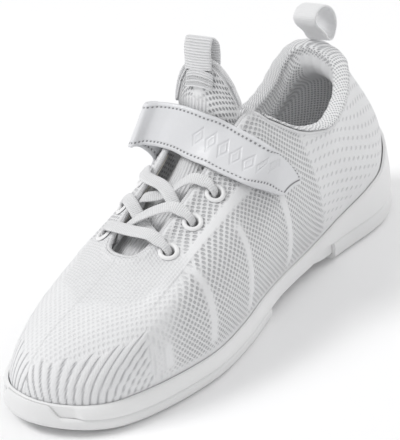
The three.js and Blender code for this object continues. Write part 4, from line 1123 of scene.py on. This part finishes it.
holes_zone = smooth(0.04, 0.08, tongue_t) * (1 - smooth(0.9, 0.97, np.abs(tongue_s)))
holes_zone = holes_zone * (1 - smooth(0.955, 0.985, tongue_t))
tongue = slab("tongue_pad", front_face, back_face, weave=tongue_weave,
              masks={"ribbed": rib_zone, "open_mesh": holes_zone * (1 - spot)}, body=None, slot="knit",
              stands_for=["tongue_base", "tongue_flap"], finish=tongue_knit)
hinge_low = (tongue_at(0.0, TONGUE_HINGE - 0.035, TONGUE / 2)[0] + SHIFT) * MM
hinge_high = (tongue_at(0.0, TONGUE_HINGE + 0.035, TONGUE / 2)[0] + SHIFT) * MM
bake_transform(tongue)

rim_rise = np.linspace(TONGUE_HINGE + 0.045, 1, 40)
rim_t = np.concatenate([rim_rise, np.ones(60), np.linspace(1, TONGUE_HINGE + 0.045, 40)])
rim_s = np.concatenate([np.full(40, -1.0), np.linspace(-1, 1, 60), np.full(40, 1.0)])
rim_path, rim_normal = tongue_at(rim_s, rim_t, TONGUE / 2)
away = rim_path - tongue_at(0.0, 0.86, TONGUE / 2)[0]
away = unit(away - rim_normal * dot(away, rim_normal))
rim_path = rim_path + away * 0.75
tube("tongue_edge", rim_path, 1.75, sides=16, flat=0.55, spin=rim_normal, body="tongue_top", slot="webbing",
     stands_for=["tongue_binding"], finish=binding_tape)
tube("tongue_piping", rim_path - away * 1.9 + rim_normal * 1.75, 0.42, sides=8, spin=rim_normal,
     body="tongue_top", slot="webbing", finish=binding_tape)
print("tongue", len(tongue.data.polygons), "faces")

# %% [markdown]
# ## Pull tabs
# The tongue carries a loop of ribbed webbing whose ends are sewn to its front and back, and the heel a
# drop-shaped loop of satin tape. Webbing is a slab whose front has real cords across it, a cosine of
# the length along the tape. A row of zigzag stitches holds the sewn ends down.

# %% Tabs
TAB_WIDTH, TAB, TAB_SEAM, TAB_TOP = 12.6, 1.4, 0.95, 129.2 - 0.7


def webbing_loop(name, middle, across, bow, closed, cord_height, cord_pitch, finish, **facts):
    """Slab along a curve in the y, z plane: width along across, bowed back by bow times the square of the
    distance from the middle, with round edges and cords raised by a cosine along its length."""
    count = 260
    share = np.arange(count) / (count if closed else count - 1)
    curve = catmull(middle, share, closed)
    ahead = (np.roll(curve, -1, 0) - np.roll(curve, 1, 0)) if closed else np.gradient(curve, axis=0)
    tangent = unit(ahead)
    face = np.stack([np.zeros(count), -tangent[:, 2], tangent[:, 1]], -1)
    run = np.concatenate([[0], np.cumsum(np.linalg.norm(np.diff(curve, axis=0), axis=1))])
    u = np.linspace(-TAB_WIDTH / 2, TAB_WIDTH / 2, 25)
    shift = np.interp(share, np.linspace(0, 1, len(bow)), bow)[None, :, None] * (u**2)[:, None, None]
    base = curve[None] + u[:, None, None] * across + shift * np.array([0, 1.0, 0])
    thin = np.sqrt(np.clip(1 - (np.abs(u) / (TAB_WIDTH / 2)) ** 10, 0.12, 1))[:, None]
    cords = cord_height * np.cos(2 * np.pi * run / cord_pitch)[None, :]
    half = (TAB / 2 - cord_height) * thin + cords * thin
    weave = np.stack(np.broadcast_arrays(u[:, None], run[None, :]), -1)
    return slab(name, base + face[None] * half[..., None], base - face[None] * half[..., None], closed,
                weave=weave, finish=finish, **facts)


def tongue_strip(name, low, high, depth, finish):
    """The same webbing where it lies on the tongue, between two places and from a depth on."""
    u, t = np.meshgrid(np.linspace(-1, 1, 25), np.linspace(low, high, 60))
    half = through_rows(TONGUE_LINE, t)[..., 2]
    s = u * TAB_WIDTH / 2 / half
    thin = np.sqrt(np.clip(1 - np.abs(u) ** 10, 0.15, 1)) * TAB / 2
    run = (t - low) * 100
    cords = 0.12 * np.cos(2 * np.pi * run / 1.25)
    middle = depth + TAB / 2
    front, _ = tongue_at(s, t, middle - thin - cords * (np.sign(0.5 - (depth > 0))))
    behind_face, _ = tongue_at(s, t, middle + thin)
    return slab(name, front, behind_face, weave=np.stack([u * TAB_WIDTH / 2, run], -1), body="tongue_top",
                slot="webbing", finish=finish)


def sewn(t, depth):
    """Where the loop leaves the tongue: the middle line's point, and how it bows there."""
    return tongue_at(0.0, t, depth)[0], through_rows(TONGUE_LINE, t)[3]


tab_front, front_bow = sewn(TAB_SEAM + 0.006, -3 * EASE - TAB / 2)
tab_back, back_bow = sewn(TAB_SEAM + 0.006, TONGUE + 4 * EASE + TAB / 2)
fy, fz, by, bz = tab_front[1], tab_front[2], tab_back[1], tab_back[2]
tab_middle = [(0, fy, fz), (0, fy + 0.4, fz + 4.5), (0, fy + 1, TAB_TOP - 4.2), (0, fy + 3.6, TAB_TOP),
              (0, fy + 6.8, TAB_TOP - 3.6), (0, by + 0.9, TAB_TOP - 8.5), (0, by, bz)]
webbing_loop("tongue_loop", tab_middle, unit(np.array([1, TONGUE_TURN, 0])),
             [front_bow, 0.02, 0.01, 0, 0.01, 0.02, back_bow], False, 0.14, 1.25, webbing,
             body="tongue_top", slot="webbing", stands_for=["tongue_tab"])
tail = tongue_strip("tongue_loop_tail", 0.88, TAB_SEAM + 0.008, -EASE - FACET - TAB, webbing)
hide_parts("tongue_tab_tail")
rear = tongue_strip("tongue_loop_rear", 0.9, TAB_SEAM + 0.008, TONGUE + EASE + FACET, webbing)
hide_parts("tongue_tab_back")
HEEL_LOOP = [
    (109.4, 86.8), (112.4, 90.8), (112.8, 96), (110.2, 101.4), (105, 105), (99.6, 105),
    (96.6, 102), (97.8, 98.2), (101, 94.8), (103.9, 91.6), (106.4, 87.8),
]
HEEL_LOOP_X = -6
webbing_loop("heel_loop", [(HEEL_LOOP_X, y, z) for y, z in HEEL_LOOP], unit(np.array([1, 0, 0.12])), [0, 0],
             True, 0.02, 0.8, satin, body="heel_tab", slot="satin", stands_for=["heel_tab"])

# The rear strand of the heel's loop is sewn down the outside of the heel.
foot_phi, foot_v = np.broadcast_arrays(np.linspace(176.5, 192.5, 15)[None, :],
                                       np.linspace(0.79, 0.985, 26)[:, None])
foot_crown = 0.25 * np.sqrt(np.clip(1 - np.linspace(-1, 1, 15)[None, :] ** 6, 0, 1))
foot_front = upper(foot_phi, foot_v, -1.35 - foot_crown)
slab("heel_loop_foot", foot_front, upper(foot_phi, foot_v, -0.1),
     weave=np.stack([lengths(foot_front, 1), lengths(foot_front, 0)], -1), slot="satin", finish=satin)

# Zigzag of thread across the foot of the tongue's loop.
zig_u = np.linspace(-0.86, 0.86, 27)
zig_t = 0.915 + 0.012 * (np.arange(27) % 2)
for number, lower in enumerate((0.0, -0.022)):
    half = through_rows(TONGUE_LINE, zig_t + lower)[:, 2]
    zig, zig_normal = tongue_at(zig_u * TAB_WIDTH / 2 / half, zig_t + lower, -EASE - FACET - TAB - 0.12)
    fine = np.stack([np.interp(np.linspace(0, 26, 105), np.arange(27), zig[:, k]) for k in range(3)], -1)
    tube(f"tab_stitch_{number + 1}", fine, 0.2, sides=6, spin=zig_normal[0] + 0 * fine, body="tongue_top",
         slot="webbing", finish=binding_tape)
print("tabs made")

# %% [markdown]
# ## Eyelets and lace
# Six painted rings line the eyelets: a ring is a small profile turned about the eyelet's axis. One flat
# elastic lace passes through them, and its route is a list of points: down through a
# ring, under the knit, up through the next, and across the tongue. A round section flattened to a third
# with four shallow ribs along it makes the braid.

# %% Eyelets
FLANGE, TAPE_LAYER = 0.8, 0.6
INNER_DEPTH, INNER_HEIGHT = KNIT + TAPE_LAYER + 4 * EASE, 0.5
ring_line = np.array([
    (EYELET_HOLE, -INNER_DEPTH - INNER_HEIGHT), (EYELET_HOLE, FLANGE * 0.5),
    (EYELET_HOLE + 0.12, FLANGE * 0.95),
    (EYELET_HOLE + 0.5, FLANGE + EASE + 0.1), (EYELET_HOLE + 1.0, FLANGE + EASE + 0.12),
    (EYELET_RADIUS - 0.5, FLANGE + EASE - 0.05), (EYELET_RADIUS - 0.1, FLANGE * 0.75),
    (EYELET_RADIUS, EASE + 0.15),
    (EYELET_RADIUS - 0.2, EASE), (EYELET_BARREL, EASE), (EYELET_BARREL, -INNER_DEPTH),
    (EYELET_BARREL + 1, -INNER_DEPTH), (EYELET_BARREL + 1, -INNER_DEPTH - INNER_HEIGHT),
])
ring_angle = np.arange(48) * 2 * np.pi / 48
for name, eyelet in eyelets.items():
    axis = eyelet["normal"]
    first = unit(np.cross(axis, [0, 1.0, 0]))
    second = np.cross(axis, first)
    spoke = first * np.cos(ring_angle)[:, None] + second * np.sin(ring_angle)[:, None]
    points = eyelet["point"] + spoke[None] * ring_line[:, None, :1] + axis * ring_line[:, None, 1:]
    faces = grid_faces(len(ring_line), 48, 0, around=True, across=True)
    piece = make_piece(f"eyelet_ring_{name}", points, faces, slot="ring", stands_for=[f"eyelet_{name}"],
                       finish=ring_paint)
    tidy_normals(piece)
    piece.data.set_sharp_from_angle(angle=math.radians(50))

# %% Lace
LACE_WIDTH, LACE_THICKNESS = 6.0, 1.5
inside = -(INNER_DEPTH + INNER_HEIGHT + 2 * EASE + LACE_THICKNESS / 2)
over = FLANGE + 2 * EASE + LACE_THICKNESS / 2


def station(name, height, inward=0.0):
    """A point on an eyelet's axis at a height over the knit, stepped toward the throat by inward."""
    eyelet = eyelets[name]
    slope = upper(eyelet["phi"], eyelet["v"] + 0.05) - upper(eyelet["phi"], eyelet["v"] - 0.05)
    slope = unit(slope * np.array([1, 0, 1.0]))
    toward = -1 if (name.startswith("lateral")) == (slope[0] > 0) else 1
    return eyelet["point"] + eyelet["normal"] * height + slope * toward * inward


def into(name):
    """Across the ring and down through the eyelet."""
    return [station(name, over, 5.2), station(name, over - 0.1, 1.6), station(name, over - 2.2),
            station(name, -KNIT)]


def under(name):
    """From below the eyelet toward the throat, under the knit."""
    return [station(name, inside + 1.6), station(name, inside - 0.3, 2.5), station(name, inside, 6)]


lace_route = [
    upper(296, 0.78, 5.6), upper(296, 0.82, 6.0), station("medial_3", inside + 1.2), *into("medial_3")[::-1],
    (-11, -19.5, 72.4), (0, -21.5, 71.4), (8, -25, 67),
    *under("lateral_2")[::-1], *into("lateral_2")[::-1],
    (11, -30, 68.2), (0, -36.5, 64.2), (-8, -41, 57.2),
    *under("medial_1")[::-1], *into("medial_1")[::-1],
    (-10.5, -45, 60.3), (0, -45.6, 61.2), (10.5, -45, 61.6),
    *into("lateral_1"), *under("lateral_1"),
    (8.5, -40.5, 56.6), (0, -36.8, 59.9), (-10, -32.2, 65.8),
    *into("medial_2"), *under("medial_2"),
    (-8.5, -26, 65), (0, -21.6, 67.4), (10.5, -14.5, 74.6),
    *into("lateral_3"), station("lateral_3", inside + 1.2), upper(65.5, 0.84, 6.0), upper(65.5, 0.8, 5.6),
]
dense = catmull(lace_route, np.linspace(0, 1, 6000))
run = np.concatenate([[0], np.cumsum(np.linalg.norm(np.diff(dense, axis=0), axis=1))])
LACE_STEPS = 900
lace_path = np.stack([np.interp(np.linspace(0, run[-1], LACE_STEPS), run, dense[:, k]) for k in range(3)], -1)
row_line = (eyelets["lateral_3"]["point"] - eyelets["lateral_1"]["point"]
            + eyelets["medial_3"]["point"] - eyelets["medial_1"]["point"]) * np.array([0, 1.0, 1.0])
gap = np.full(LACE_STEPS, 1e9)
for eyelet in eyelets.values():
    offset = lace_path - eyelet["point"]
    height = offset @ eyelet["normal"]
    far = np.linalg.norm(offset - height[:, None] * eyelet["normal"], axis=1)
    gap = np.minimum(gap, np.maximum(far, np.abs(height + 1.2) - 1.2))
lace_width = mix(3.7, LACE_WIDTH, smooth(2.2, 6.5, gap))
tangent = unit(np.gradient(lace_path, axis=0))
lace_across = unit(row_line - tangent * dot(np.broadcast_to(row_line, tangent.shape), tangent))
for _ in range(6):
    lace_across = unit(lace_across + np.roll(lace_across, 1, 0) + np.roll(lace_across, -1, 0))
lace_face = unit(np.cross(tangent, lace_across))
u = np.concatenate([np.linspace(-1, 1, 25), np.linspace(1, -1, 25)[1:-1]])
top = np.concatenate([np.ones(25), -np.ones(23)])
braid_rib = 1 - 0.16 * (1 + np.cos(2 * np.pi * u * 2.5)) / 2
profile = top * np.sqrt(np.clip(1 - np.abs(u) ** 6, 0, 1)) * braid_rib
lace_points = (lace_path[:, None] + lace_across[:, None] * (u[None, :, None] * lace_width[:, None, None] / 2)
               + lace_face[:, None] * (profile[None, :, None] * LACE_THICKNESS / 2))
lace_weave = np.stack(np.broadcast_arrays(u[None] * 3, np.linspace(0, run[-1], LACE_STEPS)[:, None]), -1)
sides = len(u)
ends = np.concatenate([lace_points.reshape(-1, 3), lace_path[:1], lace_path[-1:]])
count, last = LACE_STEPS * sides, (LACE_STEPS - 1) * sides
caps = [(count, (k + 1) % sides, k) for k in range(sides)]
caps += [(count + 1, last + k, last + (k + 1) % sides) for k in range(sides)]
lace = make_piece("lace_flat", ends, grid_faces(LACE_STEPS, sides, 0, around=True).tolist() + caps,
                  np.concatenate([lace_weave.reshape(-1, 2), np.zeros((2, 2))]), slot="cord",
                  stands_for=["lace"], finish=lace_braid)
tidy_normals(lace)
print("lace", round(float(run[-1])), "mm long")

# %% [markdown]
# ## The strap
# A coated strap crosses the instep from a seam on the inner side and closes on the outer side with hook
# and loop. Three rails, for its rear edge, middle and front edge, carry a parabola across; the cover is a
# slab under that face, its end a rectangle with round corners. A plain row of pressed diamonds stands
# along it. A short root runs across the seam.

# %% Strap shape
STRAP_WIDTH, STRAP, STRAP_LINING, PATCH = 21.8, 1.6, 0.6, 0.8
STRAP_HEIGHT = 5 * EASE + 2 * FACET + 2 * PATCH + STRAP_LINING + STRAP
ROOT_HEIGHT = STRAP + EASE + FACET
# On the knit a row is phi and v of the rear edge, phi and v of the front edge, and the height over the
# knit; in the open it is x, y, z of the rear edge, then of the front edge.
STRAP_ROWS = [
    (258, 0.62, 270, 0.5, ROOT_HEIGHT), (263, 0.8, 275, 0.64, ROOT_HEIGHT),
    (267, 0.93, 280, 0.78, ROOT_HEIGHT), (-23.6, 8.6, 93.8, -28.2, -2.6, 75),
    (-25.2, 1.6, 96.2, -30.4, -7, 76.3), (-21.6, -2.2, 97.6, -27.2, -8.6, 77.4),
    (-16.4, 1, 98.4, -23.6, -5.6, 77.6), (-10.6, 2.4, 98.6, -18.2, -4.4, 78.1),
    (-4.6, 2.8, 98.4, -12.2, -4.5, 78.9), (1.4, 3.4, 97.4, -6.5, -4.6, 78.8),
    (6.3, 4.6, 95.3, -0.8, -5, 78.6), (10.3, 6.9, 93.4, 5.5, -6, 78.8), (14.6, 9.6, 91, 12, -7.4, 78.8),
    (88.2, 0.974, 70.7, 0.971, 3.5), (90.5, 0.916, 72.5, 0.916, 4.4), (93.2, 0.858, 75, 0.863, 5),
    (95.5, 0.811, 77.7, 0.806, STRAP_HEIGHT), (101.5, 0.78, 81.3, 0.744, STRAP_HEIGHT),
    (106, 0.742, 85, 0.681, STRAP_HEIGHT), (109.4, 0.689, 88.5, 0.617, STRAP_HEIGHT),
    (112.6, 0.638, 91.8, 0.556, STRAP_HEIGHT),
]
strap_rails = [[], [], []]
for row in STRAP_ROWS:
    def place(k, row=row):
        if len(row) == 5:
            return upper(mix(row[0], row[2], k), mix(row[1], row[3], k), -row[4])
        return mix(np.array(row[:3], float), np.array(row[3:], float), k)

    half = STRAP_WIDTH / 2 / np.linalg.norm(place(0.0) - place(1.0))
    for rail, k in zip(strap_rails, (0.5 - half, 0.5, 0.5 + half)):
        rail.append(place(k))
STRAP_SEAM, STRAP_TIP, STRAP_CORNER, ROOT_END = 0.133, 0.945, 0.27, 0.165


def strap_face(s, k):
    """The strap's outer face: s from the sewn end to the tip, k across. A parabola through the rails."""
    rear_edge, middle, front_edge = (catmull(rail, s) for rail in strap_rails)
    k = k[..., None]
    return rear_edge * (2 * k - 1) * (k - 1) + middle * 4 * k * (1 - k) + front_edge * k * (2 * k - 1)


def strap_at(s, k, depth):
    """Point under the outer face along its normal."""
    along = strap_face(np.minimum(s + 0.01, 1), k) - strap_face(np.maximum(s - 0.01, 0), k)
    across = strap_face(s, k + 0.02) - strap_face(s, k - 0.02)
    return strap_face(s, k) - unit(np.cross(across, along)) * depth[..., None]


def strap_slab(name, low, high, outer, inner, margin, steps, emboss=False, **facts):
    """Part of the strap between two depths, margin inside its edges, with a soft edge and round corners."""
    s = np.linspace(low, high, steps)
    s = np.where(s > STRAP_TIP, STRAP_TIP + (high - STRAP_TIP) * np.sqrt(np.clip(
        (s - STRAP_TIP) / max(high - STRAP_TIP, 1e-6), 0, 1)), s)
    q = np.clip((s - STRAP_TIP) / (1 - STRAP_TIP), 0, 1)
    half = 0.5 - margin - STRAP_CORNER * (1 - np.sqrt(1 - q**2))
    share = np.sin(np.linspace(-np.pi / 2, np.pi / 2, 61))
    share = mix(share, np.linspace(-1, 1, 61), 0.8)
    s_grid, share = np.broadcast_arrays(s[:, None], share[None, :])
    k = 0.5 + share * half[:, None]
    middle = strap_face(s, np.full_like(s, 0.5))
    run = np.concatenate([[0], np.cumsum(np.linalg.norm(np.diff(middle, axis=0), axis=1))])[:, None]
    side = (half[:, None] - np.abs(k - 0.5)) * STRAP_WIDTH
    inset = np.minimum(side, run[-1] - run if high > 0.99 else side)
    soft = 0.45 * (1 - smooth(0, 0.9, inset))
    lip = 0.12 * smooth(0.5, 1.2, inset) * (1 - smooth(1.6, 2.2, inset)) if emboss else 0
    pressed = 0.0
    if emboss:
        cell = (run - run[-1] * 0.62) / 6.4
        diamond = np.abs(cell - np.round(cell)) * 6.4 + np.abs(k - 0.5) * STRAP_WIDTH * 0.55
        count_ok = (np.abs(np.round(cell)) <= 3)
        pressed = 0.3 * (1 - smooth(0.35, 0.75, np.abs(diamond - 2.3))) * count_ok
        pressed = pressed + 0.22 * (1 - smooth(1.0, 1.6, diamond)) * count_ok
    zero = np.zeros_like(k)
    front = strap_at(s_grid, k, zero + outer + soft * 0.6 - lip + pressed)
    back = strap_at(s_grid, k, zero + inner - soft * 0.4)
    return slab(name, front, back, weave=np.stack(np.broadcast_arrays(k * STRAP_WIDTH, run), -1),
                masks={"inset": inset}, **facts)


strap_cover = strap_slab("strap_cover", ROOT_END, 1.0, 0.0, STRAP, 0.0, 420, emboss=True, body="strap",
                         slot="coated", stands_for=["strap"], finish=strap_coat)
strap_root = strap_slab("strap_end", 0.0, ROOT_END, 0.0, STRAP, 0.0, 80, body=None, slot="coated",
                        stands_for=["strap_root"], finish=strap_coat)
seam = (np.array([float(strap_face(np.array(q), np.array(0.5))[k])
                  for q in (STRAP_SEAM - 0.012, STRAP_SEAM + 0.012) for k in range(3)]).reshape(2, 3)
        + SHIFT) * MM
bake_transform(strap_root)
LINING_DEPTH = STRAP + EASE
strap_slab("strap_backing", 0.34, 0.98, LINING_DEPTH, LINING_DEPTH + STRAP_LINING, 0.05, 200, body="strap",
           slot="lining", stands_for=["strap_lining"],
           finish=foam_finish("strap_backing", (0.78, 0.782, 0.79), 1800))
HOOK_DEPTH = LINING_DEPTH + STRAP_LINING + EASE
strap_slab("strap_hook", 0.79, 0.94, HOOK_DEPTH, HOOK_DEPTH + PATCH, 0.12, 60, body="strap", slot="grip",
           stands_for=["hook_patch"], finish=pile)
LOOP_LOW, LOOP_HIGH = 0.63, 0.8
loop_v = np.linspace(LOOP_LOW, LOOP_HIGH, 40)[:, None]
down = (LOOP_HIGH - loop_v) / (LOOP_HIGH - LOOP_LOW)
loop_phi = mix(mix(82, 92, down), mix(93, 107, down), np.linspace(0, 1, 40)[None])
loop_v = np.broadcast_to(loop_v, loop_phi.shape)
slab("strap_loop", upper(loop_phi, loop_v, -EASE - PATCH), upper(loop_phi, loop_v, -EASE - 0.05), slot="grip",
     stands_for=["loop_patch"], finish=pile)
print("strap", len(strap_cover.data.polygons), "faces")

# %% [markdown]
# ## Inside the shoe
# The sockliner is what shows through the collar: foam with a cloth face that dips under the foot. The
# stiffeners between the layers stay as the frame's own parts, in board.

# %% Sockliner and hidden parts
BOARD, SOCK, BOARD_INSET = 1.5, 3.4, FEATHER_INSET + KNIT + 2 * EASE
sock_base = floor_at(y_line) + 2 * EASE + BOARD
sock_rings = [ring(BOARD_INSET + EASE, sock_base), ring(BOARD_INSET + EASE, sock_base + SOCK - 0.7),
              ring(BOARD_INSET + EASE + 0.3, sock_base + SOCK - 0.2),
              ring(BOARD_INSET + 2, sock_base + SOCK - 0.25),
              ring(BOARD_INSET + 8, sock_base + SOCK - 1)]
sock_points, sock_faces = close_ends(sock_rings)
sock = make_piece("sock_foam", sock_points, sock_faces, sock_points[:, :2], {"plain": 0.0}, slot="foam",
                  stands_for=["sockliner"], finish=pique)
tidy_normals(sock)
for node, finish in (("insole_board", board), ("toe_puff", board), ("heel_counter", board),
                     ("eyestay_tape_lateral", board), ("eyestay_tape_medial", board)):
    nodes[node].data.materials.clear()
    nodes[node].data.materials.append(finish)
